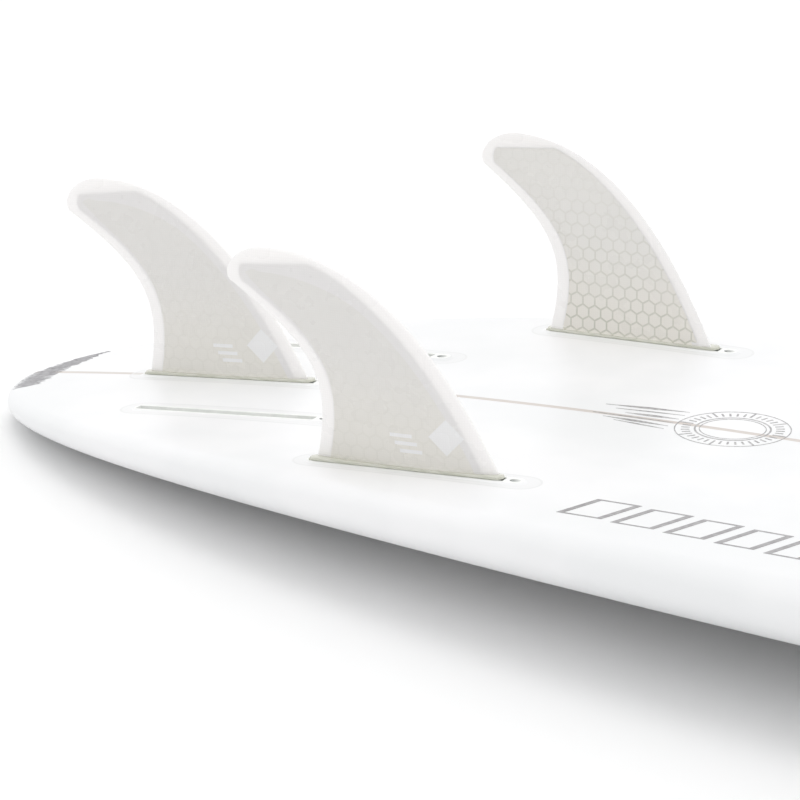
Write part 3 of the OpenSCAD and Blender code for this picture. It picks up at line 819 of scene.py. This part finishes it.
@dataclass
class LeashPlug:
    """A cup with a pin across it, set into the deck at the tail."""

    x: float = 54.0
    y: float = 22.0
    radius: float = 15.0
    height: float = 14.0
    wall: float = 2.0
    floor: float = 2.0
    sink: float = 0.3
    gap: float = 0.05
    cut_low: float = -6.0
    cut_high: float = 8.0
    bead_root: float = 0.35
    points: int = 96

    def base_z(self) -> float:
        """Height of the cup's rim."""
        x, y = np.array([self.x]), np.array([self.y])
        return float(BOARD.deck(x, y, np.array([99.0]))[0]) + self.sink

    def lathe(self, profile: Array) -> Array:
        """Turns a profile of radius and height about the cup's axis."""
        turn = np.arange(self.points) * 2 * math.pi / self.points
        radius, up = profile[:, :1], profile[:, 1:]
        return BOARD.world(self.x + radius * np.cos(turn), self.y + radius * np.sin(turn),
                           self.base_z() + up + 0 * turn)

    def cutter(self) -> bpy.types.Object:
        """A cylinder through the deck glass."""
        radius = self.radius + self.gap
        rings = self.lathe(np.array([[0, self.cut_low], [radius, self.cut_low],
                                     [radius, self.cut_high], [0, self.cut_high]]))
        return make_piece("cutter", rings, grid_quads(4, self.points, wrap_cols=True), [])

    def build(self, resin: bpy.types.Material) -> None:
        """Makes the cup and its resin bead and dresses the pin."""
        plastic = moulded("polycarbonate, moulded", "#E8E9E6", "#DFE1DE", 0.28).make()
        r, h, inner = self.radius, self.height, self.radius - self.wall
        deep = h - self.floor
        profile = np.array([
            [0, h], [r - 0.8, h], [r, h - 0.8], [r, 0.6], [r - 0.15, 0.2], [r - 0.5, 0],
            [inner + 0.5, 0], [inner + 0.15, 0.15], [inner, 0.5], [inner, deep - 1.4],
            [inner - 0.4, deep - 0.4], [inner - 1.4, deep], [inner * 0.5, deep + 0.4],
            [0, deep + 0.5]])
        cup = make_piece("leash_plug_cup", self.lathe(profile),
                         grid_quads(len(profile), self.points, wrap_cols=True), [plastic])
        hand_over(cup, "board", "cup_plastic", "leash_cup")
        rings = []
        for grow, rise in ((0.05, 1.0), (0.9, 0.5), (1.8, 0.0), (1.8, -1), (0.05, -1)):
            ring = self.lathe(np.array([[r + grow, 0.0]]))[0]
            x, y = ring[:, 0] + BOARD.length / 2, ring[:, 1]
            ground = BOARD.deck(x, y, BOARD.inward(x, y))
            proud = 0.03 + rise * np.maximum(ground - ring[:, 2], 0.05)
            up = ground + self.bead_root if rise < 0 else ground - proud
            rings.append(np.stack([ring[:, 0], y, up], -1))
        bead = make_piece("leash_plug_bead", np.stack(rings),
                          grid_quads(5, self.points, wrap_rows=True, wrap_cols=True), [resin],
                          sharp_angle=60)
        hand_over(bead, "board", "board_glass")
        dress("leash_bar", steel("stainless steel, drawn", "#B8BABC", "#8E9194", 0.22).make())


@dataclass
class Board:
    """The blank with its stringer, and the two glass skins laid over it."""

    boxes: FinBoxes
    plug: LeashPlug
    stations: int = 241
    skin_t: float = 0.9
    least_cover: float = 0.55
    sharp_angle: float = 35.0
    flat_cols: int = 20
    edge_cols: int = 9
    side_cols: int = 12
    deck_cols: int = 28

    def half_section(self) -> tuple[Array, Array]:
        """Where the bottom skin's and the deck skin's columns lie, as functions of x.

        Stations stand closer together towards both ends: x = L * (1 - cos(angle)) / 2. Across a
        station, the bottom goes out evenly to the edge and round it by the sine of an angle, and
        the side comes back in by half width * cos(angle)^0.8, as far as the deck goes out.

        Returns:
            Half widths y of the bottom skin and of the deck skin, a row for each station.
        """
        half, edge = BOARD.half_w(self.x)[:, None], BOARD.edge_w(self.x)[:, None]
        flat = np.linspace(0, 1, self.flat_cols, endpoint=False) * (half - edge)
        round_edge = half - edge + edge * np.sin(np.linspace(0, math.pi / 2, self.edge_cols))
        lap = math.radians(BOARD.lap_angle)
        side = half * np.cos(np.linspace(0, lap, self.side_cols)[1:]) ** BOARD.side_power
        deck = side[:, -1:] * np.linspace(0, 1, self.deck_cols) ** 0.8
        return np.concatenate([flat, round_edge, side], 1), deck

    @property
    def x(self) -> Array:
        """Stations from the tail end to the nose tip."""
        return BOARD.length * (1 - np.cos(np.linspace(0, math.pi, self.stations))) / 2

    def sheet(self, name: str, half_y: Array, z: Array, outward: bool,
              finish: bpy.types.Material) -> bpy.types.Object:
        """Mirrors half a skin across the stringer and gives it the glass's thickness inwards."""
        whole_y = np.concatenate([-half_y[:, :0:-1], half_y], 1)
        whole_z = np.concatenate([z[:, :0:-1], z], 1)
        quads = grid_quads(*whole_y.shape)
        piece = make_piece(name, BOARD.world(self.x[:, None], whole_y, whole_z),
                           quads if outward else quads[:, ::-1], [finish], closed=False)
        skin = piece.modifiers.new("skin", "SOLIDIFY")
        skin.thickness, skin.offset, skin.use_even_offset = self.skin_t * MM, -1, False
        return piece

    def note_edge(self, piece: bpy.types.Object) -> None:
        """Writes each point's distance to the outline, in millimetres, for the lap's line."""
        points = read_points(piece.data)
        inward = BOARD.inward(points[:, 0] + BOARD.length / 2, points[:, 1])
        piece.data.attributes.new("from_edge", "FLOAT", "POINT").data.foreach_set("value", inward)

    def filling(self, node: str, name: str, slot: str, finish: bpy.types.Material) -> None:
        """Copies a CAD node of the blank and draws it in under the skins' rounded ends.

        Args:
            node: The CAD node.
            name: Name of the piece that stands for it.
            slot: Its material slot.
            finish: Its material.
        """
        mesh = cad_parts[node].data.copy()
        mesh.name = name
        points = read_points(mesh)
        x, y = points[:, 0] + BOARD.length / 2, points[:, 1]
        inward = BOARD.inward(x, y)
        room = self.least_cover * self.skin_t
        low, high = BOARD.deck(x, y, inward) + room, BOARD.bottom(x, y, inward) - room
        points[:, 2] = np.where(low < high, np.clip(points[:, 2], low, high), (low + high) / 2)
        mesh.vertices.foreach_set("co", (points * MM).ravel())
        mesh.materials.clear()
        mesh.materials.append(finish)
        piece = bpy.data.objects.new(name, mesh)
        bpy.context.scene.collection.objects.link(piece)
        hand_over(piece, "board", slot, node)

    def build(self) -> None:
        """Makes both skins, opens them for the boxes and the plug, and fills them."""
        under_finish = Laminate("polyester resin over E-glass, bottom", boxes=tuple(
            self.boxes.flange_row(p) for p in PLACES if p.side is not Side.RIGHT)).make()
        over_finish = Laminate("polyester resin over E-glass, deck", shows_lap=True).make()
        under_y, deck_y = self.half_section()
        x = self.x[:, None]
        under_in, deck_in = (BOARD.inward(x + 0 * y, y) for y in (under_y, deck_y))
        under_z = BOARD.bottom(x, under_y, under_in)
        turn = self.flat_cols + self.edge_cols
        under_z[:, turn:] = BOARD.deck(x, under_y[:, turn:], under_in[:, turn:])
        under = self.sheet("skin_bottom", under_y, under_z, True, under_finish)
        settle(under)
        carve(under, [self.boxes.cutter(p) for p in PLACES])
        over = self.sheet("skin_deck", deck_y, BOARD.deck(x, deck_y, deck_in), False, over_finish)
        settle(over)
        carve(over, [self.plug.cutter()])
        for piece, node in ((under, "bottom_glass"), (over, "deck_glass")):
            self.note_edge(piece)
            soften(piece.data, self.sharp_angle)
            hand_over(piece, "board", "board_glass", node)
        foam = FOAM.make()
        self.filling("foam_core_left", "blank_left", "foam", foam)
        self.filling("foam_core_right", "blank_right", "foam", foam)
        self.filling("stringer", "stringer_strip", "stringer_wood", TIMBER.make())


@dataclass
class Artwork:
    """Plain printed marks under the gloss: a tail hatch, a ring and a row of slanted frames."""

    lift: float = 0.12
    frame_start: tuple[float, float] = (466.0, -168.5)
    frame_count: int = 8
    frame_w: float = 27.0
    frame_less: float = 1.3
    frame_gap: float = 6.5
    frame_drift: float = 0.075
    frame_lean: float = 0.3
    ring_at: tuple[float, float] = (482.0, 3.0)
    tick_turn: float = math.pi / 20
    hatch_count: int = 52
    hatch_y: tuple[float, float] = (-35.0, 83.0)

    def conform(self, flat: Array, up: float) -> Array:
        """Lays plan points on the bottom, a little above it."""
        z = BOARD.bottom(flat[..., 0], flat[..., 1]) + up
        return BOARD.world(flat[..., 0], flat[..., 1], z)

    def band(self, left: Array, right: Array, axis: int) -> Array:
        """The four corner lines of a flat band between two lines of plan points."""
        return np.stack([self.conform(left, self.lift), self.conform(right, self.lift),
                         self.conform(right, -self.lift), self.conform(left, -self.lift)], axis)

    def loop(self, outer: Array, inner: Array) -> tuple[Array, Array]:
        """A closed flat band between two loops of plan points, as a thin solid ring."""
        return (self.band(outer, inner, 0).reshape(-1, 3),
                grid_quads(4, len(outer), wrap_rows=True, wrap_cols=True))

    def stroke(self, path: Array, width: Array) -> tuple[Array, Array]:
        """A flat line of varying width along a path of plan points, closed at both ends."""
        along = np.gradient(path, axis=0)
        along /= np.linalg.norm(along, axis=1, keepdims=True)
        across = np.stack([-along[:, 1], along[:, 0]], -1) * width[:, None] / 2
        rows = self.band(path + across, path - across, 1)
        count = len(path)
        ends = np.array([[0, 1, 2, 3], [4 * count - 1, 4 * count - 2, 4 * count - 3,
                                        4 * count - 4]])
        return rows.reshape(-1, 3), np.concatenate([grid_quads(count, 4, wrap_cols=True), ends])

    def join(self, name: str, solids: list[tuple[Array, Array]], finish: Mottled) -> None:
        """Puts many small solids into one piece."""
        starts = np.cumsum([0] + [len(points) for points, _ in solids])
        points = np.concatenate([points for points, _ in solids])
        quads = np.concatenate([quads + start for (_, quads), start in zip(solids, starts)])
        piece = make_piece(name, points, quads, [finish.make()])
        hand_over(piece, "board", "board_glass")

    def frames(self) -> list[tuple[Array, Array]]:
        """A row of hollow slanted frames along the left rail, each narrower than the last.

        A frame's loop walks round a square, (|a + b| - |a - b|, |a + b| + |a - b|) along its
        sides, scaled to the frame and sheared so that its far side leans to the nose.
        """
        walk = np.linspace(0, 4, 48, endpoint=False)
        unit = np.stack([np.clip(2 - np.abs(np.mod(walk + 0.5, 4) - 2) * 2, -1, 1),
                         np.clip(2 - np.abs(np.mod(walk + 3.5, 4) - 2) * 2, -1, 1)], -1)
        solids, (first, y), start = [], self.frame_start, self.frame_start[0]
        for k in range(self.frame_count):
            width = self.frame_w - self.frame_less * k
            middle = np.array([start + width / 2, y - self.frame_drift * (start - first)])
            loops = []
            for a, b in ((width / 2, 16.0), (width / 2 - 3.6, 14.4)):
                flat = unit * np.array([a, b])
                flat[:, 0] += self.frame_lean * flat[:, 1]
                loops.append(flat + middle)
            solids.append(self.loop(*loops))
            start += width + self.frame_gap
        return solids

    def ring(self) -> list[tuple[Array, Array]]:
        """Two thin rings with short ticks between them, and speed lines behind towards the tail."""
        middle = np.array(self.ring_at)
        turn = np.linspace(0, 2 * math.pi, 96, endpoint=False)
        unit = np.stack([np.cos(turn), np.sin(turn)], -1)
        solids = [self.loop(middle + unit * r, middle + unit * (r - w))
                  for r, w in ((22.5, 1.1), (19.6, 0.6), (34.0, 0.7))]
        for angle in np.arange(0, 2 * math.pi, self.tick_turn):
            way = np.array([math.cos(angle), math.sin(angle)])
            is_long = round(angle / self.tick_turn) % 5 == 0
            path = middle + way * np.linspace(25.0, 33.0 if is_long else 30.0, 3)[:, None]
            solids.append(self.stroke(path, np.full(3, 1.2)))
        for k, off in enumerate((-17, -11, -4, 4, 12, 19)):
            share = np.linspace(0, 1, 9)
            path = np.stack([middle[0] - 36 - share * (34 + 9 * (k % 3)),
                             middle[1] + off * (1 - 0.25 * share)], -1)
            solids.append(self.stroke(path, 0.5 + 3.0 * np.sin(math.pi * share) ** 2 *
                                      (0.4 + 0.6 * (k % 2))))
        return solids

    def hatch(self) -> list[tuple[Array, Array]]:
        """Short brushed strokes across the tail, longest in the middle of the patch."""
        draw = np.random.default_rng(7)
        solids = []
        for share in np.arange(self.hatch_count) / (self.hatch_count - 1):
            y = self.hatch_y[0] + self.hatch_y[1] * share
            size = 7.0 + 10.0 * math.sin(math.pi * min(share * 0.8 + 0.15, 1))
            x = 21.5 - 7 * math.sin(math.pi * (share + 0.05)) + draw.uniform(-1.8, 1.8)
            t = np.linspace(-0.5, 0.5, 7)
            path = np.stack([x + size * t, y + size * t * 0.9 + 1.2 * np.sin(5 * t)], -1)
            width = 0.5 + draw.uniform(1.3, 2.6) * np.cos(math.pi * t) ** 2
            solids.append(self.stroke(path, width))
        return solids

    def build(self) -> None:
        """Makes the three marks."""
        self.join("mark_slanted_frames", self.frames(),
                  ink("printed tissue under resin", "#9B999B", "#868486"))
        self.join("mark_ring", self.ring(),
                  ink("printed tissue under resin, fine lines", "#B4B2B3", "#8B8A8B"))
        self.join("mark_tail_hatch", self.hatch(), ink("brushed grey paint", "#8F8D92", "#77757A"))


@dataclass
class Fin:
    """One fin: a clear bar with its tab, a blade of solid glass, its honeycomb and inner skin."""

    place: BoxPlace
    name: str
    finishes: dict[str, bpy.types.Material]
    bar_len: float = 120.6
    bar_w: float = 8.4
    bar_z: float = 0.35
    blade_z: float = 2.05
    bar_round: float = 0.45
    bar_points: int = 96
    tab_w: float = 6.3
    tab_room: float = 0.7
    tab_bevel: float = 0.35
    tab_into_bar: float = 0.85
    screw_x: float = 67.0
    screw_room: float = 12.2
    height: float = 123.5
    blade_base: float = 112.7
    rake: float = 47.0
    foil_t: float = 6.6
    cant: float = 3.0
    rim_w: float = 8.5
    tip_rim_w: float = 12.0
    cloudy_w: float = 2.8
    glass_t: float = 0.5
    tip_row: float = 14.0
    rows: float = 20.0
    split: float = 0.72
    core_rows: tuple[float, float] = (0.2, 16.0)
    row_count: int = 62
    col_count: int = 27
    edge_t: float = 0.8
    full_from: float = 45.0
    edge_from: float = 12.0
    tip_rim_z: float = 92.0
    tip_rim_run: float = 26.0

    def __post_init__(self) -> None:
        """Works out the outline's two curves, the lean and the inner face's share of the foil."""
        side = self.place.side is not Side.CENTRE
        roll = BOARD.roll(self.place.x, self.place.y)
        self.lean = math.radians(self.cant) + roll if side else 0.0
        self.share = 0.06 if side else 0.5
        rear = -self.bar_len / 2 + 3.3
        front = rear + self.blade_base
        h, low = self.height, self.blade_z
        top = (-self.bar_len / 2 - 0.47 * self.rake, h)
        back = (-self.bar_len / 2 - 0.98 * self.rake, 0.834 * h)
        self.leading = np.array([(front, low), (front - 24, 0.445 * h), (top[0] + 70, h), top])
        self.trailing = np.array([(rear, low), (rear + 12.7, 0.405 * h),
                                  (rear + 0.7, 0.55 * h), back])
        self.tip = np.array([back, (back[0] - 4, 0.907 * h), (top[0] - 16, h), top])

    @staticmethod
    def bezier(corners: Array, t: Array) -> Array:
        """A cubic curve through its first and last corners."""
        t = np.asarray(t)[..., None]
        return ((1 - t) ** 3 * corners[0] + 3 * (1 - t) ** 2 * t * corners[1]
                + 3 * (1 - t) * t ** 2 * corners[2] + t ** 3 * corners[3])

    def front_point(self, r: Array) -> Array:
        """The leading edge at row r."""
        past = (r - self.tip_row) / (self.rows - self.tip_row)
        return self.bezier(self.leading, np.where(r <= self.tip_row, self.split * r / self.tip_row,
                                                  self.split + (1 - self.split) * past))

    def rear_point(self, r: Array) -> Array:
        """The trailing edge, and above the tip's row the rounded tip, at row r."""
        past = (r - self.tip_row) / (self.rows - self.tip_row)
        return np.where((r <= self.tip_row)[..., None], self.bezier(self.trailing,
                                                                     r / self.tip_row),
                        self.bezier(self.tip, np.clip(past, 0, 1)))

    def plane(self, r: Array, s: Array) -> Array:
        """The point in the fin's plane at row r and the share s from the leading edge."""
        front, rear = self.front_point(r), self.rear_point(r)
        return front + (rear - front) * s[..., None]

    def row_len(self, r: Array) -> Array:
        """Length of a row."""
        return np.linalg.norm(self.front_point(r) - self.rear_point(r), axis=-1)

    def foil(self, r: Array, s: Array) -> Array:
        """Thickness of the blade.

        It is sqrt(s) * (1 - s)^0.9 scaled to the row's full thickness, and it closes to nothing
        over the last 0.8 mm before each edge along a quarter circle. Rows that are shorter than
        full_from are thinner, and those shorter than edge_from have thinner edges too.
        """
        peak = 0.3571
        length = np.maximum(self.row_len(r), 1e-6)
        up = self.plane(r, np.full_like(s, 0.4))[..., 1] / self.height
        full = self.foil_t * (1 - 0.45 * up ** 2)
        edge = self.edge_t
        near = np.clip(np.minimum(s, 1 - s) * length / edge, 0, 1)
        body = (full - edge) * np.sqrt(s) * (1 - s) ** 0.9 / (math.sqrt(peak) * (1 - peak) ** 0.9)
        return body * np.minimum(1, length / self.full_from) + edge * np.sqrt(
            1 - (1 - near) ** 2) * (np.minimum(1, length / self.edge_from))

    def inner(self, r: Array, s: Array) -> Array:
        """Sideways place of the inner face: nearly flat on a side fin, foiled on the centre."""
        return self.foil_t * (0.5 - self.share) + self.share * self.foil(r, s)

    def outer(self, r: Array, s: Array) -> Array:
        """Sideways place of the outer face."""
        return self.inner(r, s) - self.foil(r, s)

    def spot(self, r: Array, s: Array, y: Array) -> Array:
        """A point of the leaning blade in the board's frame."""
        flat = self.plane(r, s)
        up = flat[..., 1] - self.blade_z
        cos, sin = math.cos(self.lean), math.sin(self.lean)
        local = np.stack([flat[..., 0], y * cos - up * sin,
                          self.blade_z + y * sin + up * cos], -1)
        return self.place.to_world(local.reshape(-1, 3)).reshape(local.shape)

    def depth(self, r: Array, s: Array) -> Array:
        """Millimetres inside the solid rim's inner edge, below nothing outside it.

        The rim's width is 8.5 mm and grows to 12 mm at the tip. It follows the two edges and the
        tip, not the root. Cloudy resin hides a little more of the core behind the leading edge.
        """
        walk = np.linspace(-0.5, self.rows, 500)
        flat = self.plane(r, s)
        front, rear = (
            np.linalg.norm(flat.reshape(-1, 1, 2) - edge, axis=-1).min(1).reshape(s.shape)
            for edge in (self.front_point(walk), self.rear_point(walk)))
        tip = np.clip((flat[..., 1] - self.tip_rim_z) / self.tip_rim_run, 0, 1)
        gap = np.minimum(front - self.cloudy_w, rear)
        return gap - self.rim_w - (self.tip_rim_w - self.rim_w) * tip ** 2 * (3 - 2 * tip)

    def inset(self, r: Array) -> Array:
        """Share of a row that the rim takes at each edge."""
        return self.rim_w / self.row_len(r)

    def blade(self) -> bpy.types.Object:
        """The blade: both faces as one ring of columns, with a pocket for core and inner skin.

        Rows climb from just inside the bar to the tip, where they shrink to a point. Two rows
        and two columns are doubled where the pocket's walls stand.
        """
        low, high = self.core_rows
        r = np.concatenate([[-0.06], [0.0], [low], np.linspace(low, high, self.row_count), [high],
                            high + (self.rows - high) * np.sin(
                                np.linspace(0, math.pi / 2, 22)[1:])])
        in_rows = np.zeros(len(r), bool)
        in_rows[3:3 + self.row_count] = True
        rim = np.array([0, 0.003, 0.012, 0.04, 0.1, 0.22, 0.42, 0.68, 1.0])
        inset = np.where(r < self.rows - 1e-6, np.minimum(self.inset(np.minimum(r, 19.9)), 0.42),
                         0.42)[:, None]
        mid = inset + (1 - 2 * inset) * np.linspace(0, 1, self.col_count)
        s = np.concatenate([inset * rim, mid, 1 - inset * rim[::-1]], 1)
        in_cols = np.zeros(s.shape[1], bool)
        in_cols[len(rim):len(rim) + self.col_count] = True
        rr = np.broadcast_to(r[:, None], s.shape)
        pocket = in_rows[:, None] & in_cols[None, :]
        face_in = np.where(pocket, self.outer(rr, s) + self.glass_t, self.inner(rr, s))
        cols = s.shape[1]
        ring_r = np.concatenate([rr, rr[:, ::-1]], 1)
        ring_s = np.concatenate([s, s[:, ::-1]], 1)
        ring_y = np.concatenate([face_in, self.outer(rr, s)[:, ::-1]], 1)
        points = self.spot(ring_r, ring_s, ring_y)
        quads = grid_quads(len(r), 2 * cols, wrap_cols=True)
        root = cap_quads(cols)
        is_outer = np.tile(np.arange(2 * cols) >= cols - 1, len(r) - 1)
        index = np.concatenate([is_outer, np.ones(len(root), bool)])
        return make_piece(f"{self.name}_foil", points, np.concatenate([quads, root]),
                          [self.finishes["inner"], self.finishes["outer"]],
                          uv=self.plane(ring_r, ring_s) * MM,
                          values={"core": self.depth(ring_r, ring_s)}, material_index=index,
                          sharp_angle=50)

    def layer(self, name: str, from_inner: float, thick: float | None,
              finish: bpy.types.Material) -> bpy.types.Object:
        """A layer in the blade's pocket, from a depth below the inner face.

        Args:
            name: Name of the piece.
            from_inner: Depth of its upper side below the inner face.
            thick: Its thickness, or None down to the outer glass.
            finish: Its material.

        Returns:
            The closed layer.
        """
        low, high = self.core_rows
        r = np.linspace(low, high, self.row_count)[:, None]
        inset = self.inset(r)
        s = inset + (1 - 2 * inset) * np.linspace(0, 1, self.col_count)
        rr = np.broadcast_to(r, s.shape)
        top = self.inner(rr, s) - from_inner
        under = self.outer(rr, s) + self.glass_t if thick is None else top - thick
        ring_r, ring_s = np.concatenate([rr, rr[:, ::-1]], 1), np.concatenate([s, s[:, ::-1]], 1)
        points = self.spot(ring_r, ring_s, np.concatenate([top, under[:, ::-1]], 1))
        cols = s.shape[1]
        cap = cap_quads(cols)
        quads = np.concatenate([grid_quads(len(s), 2 * cols, wrap_cols=True), cap,
                                cap + 2 * cols * (len(s) - 1)])
        return make_piece(name, points, quads, [finish], uv=self.plane(ring_r, ring_s) * MM,
                          values={"core": np.full_like(ring_s, self.rim_w)}, sharp_angle=50)

    def bar(self) -> bpy.types.Object:
        """The clear bar under the blade and the tab that drops into the slot.

        The bar's rings are its outline, drawn in along quarter circles at its top and bottom. The
        tab is its side outline, sloped at the front for the screw, carried across its width.
        """
        count, soft = self.bar_points, self.bar_round
        turn = np.linspace(0, math.pi / 2, 5)
        shrink = np.concatenate([[self.bar_w / 2], soft - soft * np.sin(turn),
                                 (soft - soft * np.sin(turn))[::-1], [self.bar_w / 2]])
        up = np.concatenate([[self.bar_z], self.bar_z + soft - soft * np.cos(turn),
                             (self.blade_z - soft + soft * np.cos(turn))[::-1], [self.blade_z]])
        rings = []
        for less, z in zip(shrink, up):
            flat, outward = stadium(-self.bar_len / 2, self.bar_len / 2, self.bar_w, count)
            rings.append(raised(flat - outward * less, z))
        rings = np.concatenate(rings)
        half, low = self.bar_len / 2, self.tab_room - self.place.depth
        reach = self.screw_x - self.screw_room * math.sqrt(2)
        top = self.bar_z + self.tab_into_bar
        side = np.array([(-half, low + 1.5), (-half + 0.44, low + 0.44), (-half + 1.5, low),
                         (half - 1.2, low), (half - 0.3, low + 0.4), (half, low + 1.0),
                         (half, reach - half), (reach - top, top), (-half, top)])
        wide, bevel = self.tab_w / 2, self.tab_bevel
        middle = np.broadcast_to(side.mean(0), side.shape)
        loops = []
        for flat, y, less in ((middle, -wide, 0), (side, -wide, bevel), (side, bevel - wide, 0),
                              (side, wide - bevel, 0), (side, wide, bevel), (middle, wide, 0)):
            drawn = flat + (middle - flat) / np.maximum(
                np.linalg.norm(middle - flat, axis=1, keepdims=True), 1e-6) * less
            loops.append(np.stack([drawn[:, 0], np.full(len(flat), y), drawn[:, 1]], -1))
        tab = np.concatenate(loops)
        quads = np.concatenate([grid_quads(12, count, wrap_cols=True),
                                grid_quads(6, len(side), wrap_cols=True) + len(rings)])
        return make_piece(f"{self.name}_bar", self.place.to_world(np.concatenate([rings, tab])),
                          quads, [self.finishes["clear"]])

    def build(self) -> None:
        """Makes the fin's four pieces."""
        name = self.name
        hand_over(self.bar(), name, "fin_resin_clear", f"{name}_base")
        hand_over(self.blade(), name, "fin_glass", f"{name}_blade")
        hand_over(self.layer(f"{name}_honeycomb", self.glass_t, None, self.finishes["comb"]),
                  name, "fin_honeycomb", f"{name}_core")
        hand_over(self.layer(f"{name}_inner_glass", 0.0, self.glass_t, self.finishes["inner"]),
                  name, "fin_inner_glass", f"{name}_skin")


@dataclass
class Studio:
    """Pale paper, a soft overhead light, white walls all round, and the camera."""

    sky: float = 1.06
    horizon: float = 1.2
    near_share: float = 0.83
    lamp_power: float = 8.0
    lamp_size: float = 1.6
    lamp_at: tuple[float, float, float] = (-0.9, -0.2, 2.6)
    lamp_aim: tuple[float, float, float] = (-0.45, 0.0, 0.0)
    floor_reach: float = 40000.0
    eye: tuple[float, float, float] = (0.47604, -2.10720, 0.85961)
    aim: tuple[float, float, float] = (-0.63038, 0.01357, 0.04946)
    roll: float = 3.165
    lens: float = 187.36

    def floor(self) -> None:
        """A large sheet of paper that the board lies on."""
        corner = np.array([[-1, -1, 0], [1, -1, 0], [1, 1, 0], [-1, 1, 0]]) * self.floor_reach
        sheet = make_piece("paper", corner, np.array([[0, 1, 2, 3]]), [PAPER.make()],
                           closed=False)

    def world(self) -> None:
        """Soft white light from all round, stronger from the far walls and weaker from -Y."""
        world = bpy.data.worlds.new("studio")
        bpy.context.scene.world = world
        world.use_nodes = True
        tree = world.node_tree
        tree.nodes.clear()
        way = add(tree, "TexCoord", {}, out="Generated")
        up = add(tree, "SeparateXYZ", {0: way}, out=2)
        glow = add(tree, "MapRange", {"Value": up, "From Min": 0.0, "From Max": 0.55,
                                      "To Min": self.horizon, "To Max": self.sky}, **SMOOTH)
        side = add(tree, "SeparateXYZ", {0: way}, out=1)
        share = add(tree, "MapRange", {"Value": side, "From Min": -0.9, "From Max": 0.3,
                                       "To Min": self.near_share, "To Max": 1.0}, **SMOOTH)
        glow = add(tree, "Math", {0: glow, 1: share}, operation="MULTIPLY")
        light = add(tree, "Background", {"Color": (1, 1, 1, 1), "Strength": glow})
        output = tree.nodes.new("ShaderNodeOutputWorld")
        tree.links.new(light, output.inputs["Surface"])

    def lamp(self) -> None:
        """One large soft light over the tail."""
        data = bpy.data.lights.new("softbox", "AREA")
        data.shape, data.size, data.energy = "DISK", self.lamp_size, self.lamp_power
        lamp = bpy.data.objects.new("softbox", data)
        at = Vector(self.lamp_at)
        lamp.matrix_world = Matrix.Translation(at) @ (
            Vector(self.lamp_aim) - at).to_track_quat("-Z", "Y").to_matrix().to_4x4()
        lamp.visible_camera = lamp.visible_glossy = False
        bpy.context.scene.collection.objects.link(lamp)

    def camera(self) -> None:
        """The camera, rolled a little about its own axis."""
        data = bpy.data.cameras.new("camera")
        data.lens, data.sensor_width, data.clip_end = self.lens, 36.0, 200.0
        camera = bpy.data.objects.new("camera", data)
        eye, aim = Vector(self.eye), Vector(self.aim)
        ahead = (aim - eye).normalized()
        right = ahead.cross(Vector((0, 0, 1))).normalized()
        up = right.cross(ahead)
        turn = math.radians(self.roll)
        across = right * math.cos(turn) + up * math.sin(turn)
        frame_axes = Matrix((across, across.cross(ahead), -ahead)).transposed().to_4x4()
        camera.matrix_world = Matrix.Translation(eye) @ frame_axes
        bpy.context.scene.collection.objects.link(camera)
        bpy.context.scene.camera = camera

    def build(self) -> None:
        """Sets the stage."""
        self.camera()
        self.floor()
        self.world()
        self.lamp()
        bpy.context.scene.view_settings.view_transform = "Standard"


def main() -> None:
    """Builds the sub-assemblies in order."""
    logging.basicConfig(level=logging.INFO, format="%(name)s %(message)s")
    Studio().build()
    resin = Laminate("polyester resin bead").make()
    boxes, plug = FinBoxes(), LeashPlug()
    Board(boxes, plug).build()
    boxes.build(resin)
    plug.build(resin)
    Artwork().build()
    shared = {
        "clear": CLEAR_RESIN.make(),
        "comb": Honeycomb("resin-dipped paper honeycomb").make(),
        # Painted light: each face's root tone is lighter than its upper tone, to lift the shade
        # near the board.
        "inner": FinGlass("glass cloth and resin over honeycomb, inner face", upper="#F6F4EF",
                          root_lightened="#F9F5EC").make(),
        "outer": FinGlass("glass cloth and resin over honeycomb, outer face", wall_show=0.13,
                          has_mark=True).make(),
    }
    for place, name in ((PLACES[0], "fin_centre"), (PLACES[1], "fin_left"),
                        (PLACES[2], "fin_right")):
        Fin(place, name, shared).build()


if __name__ == "__main__":
    main()
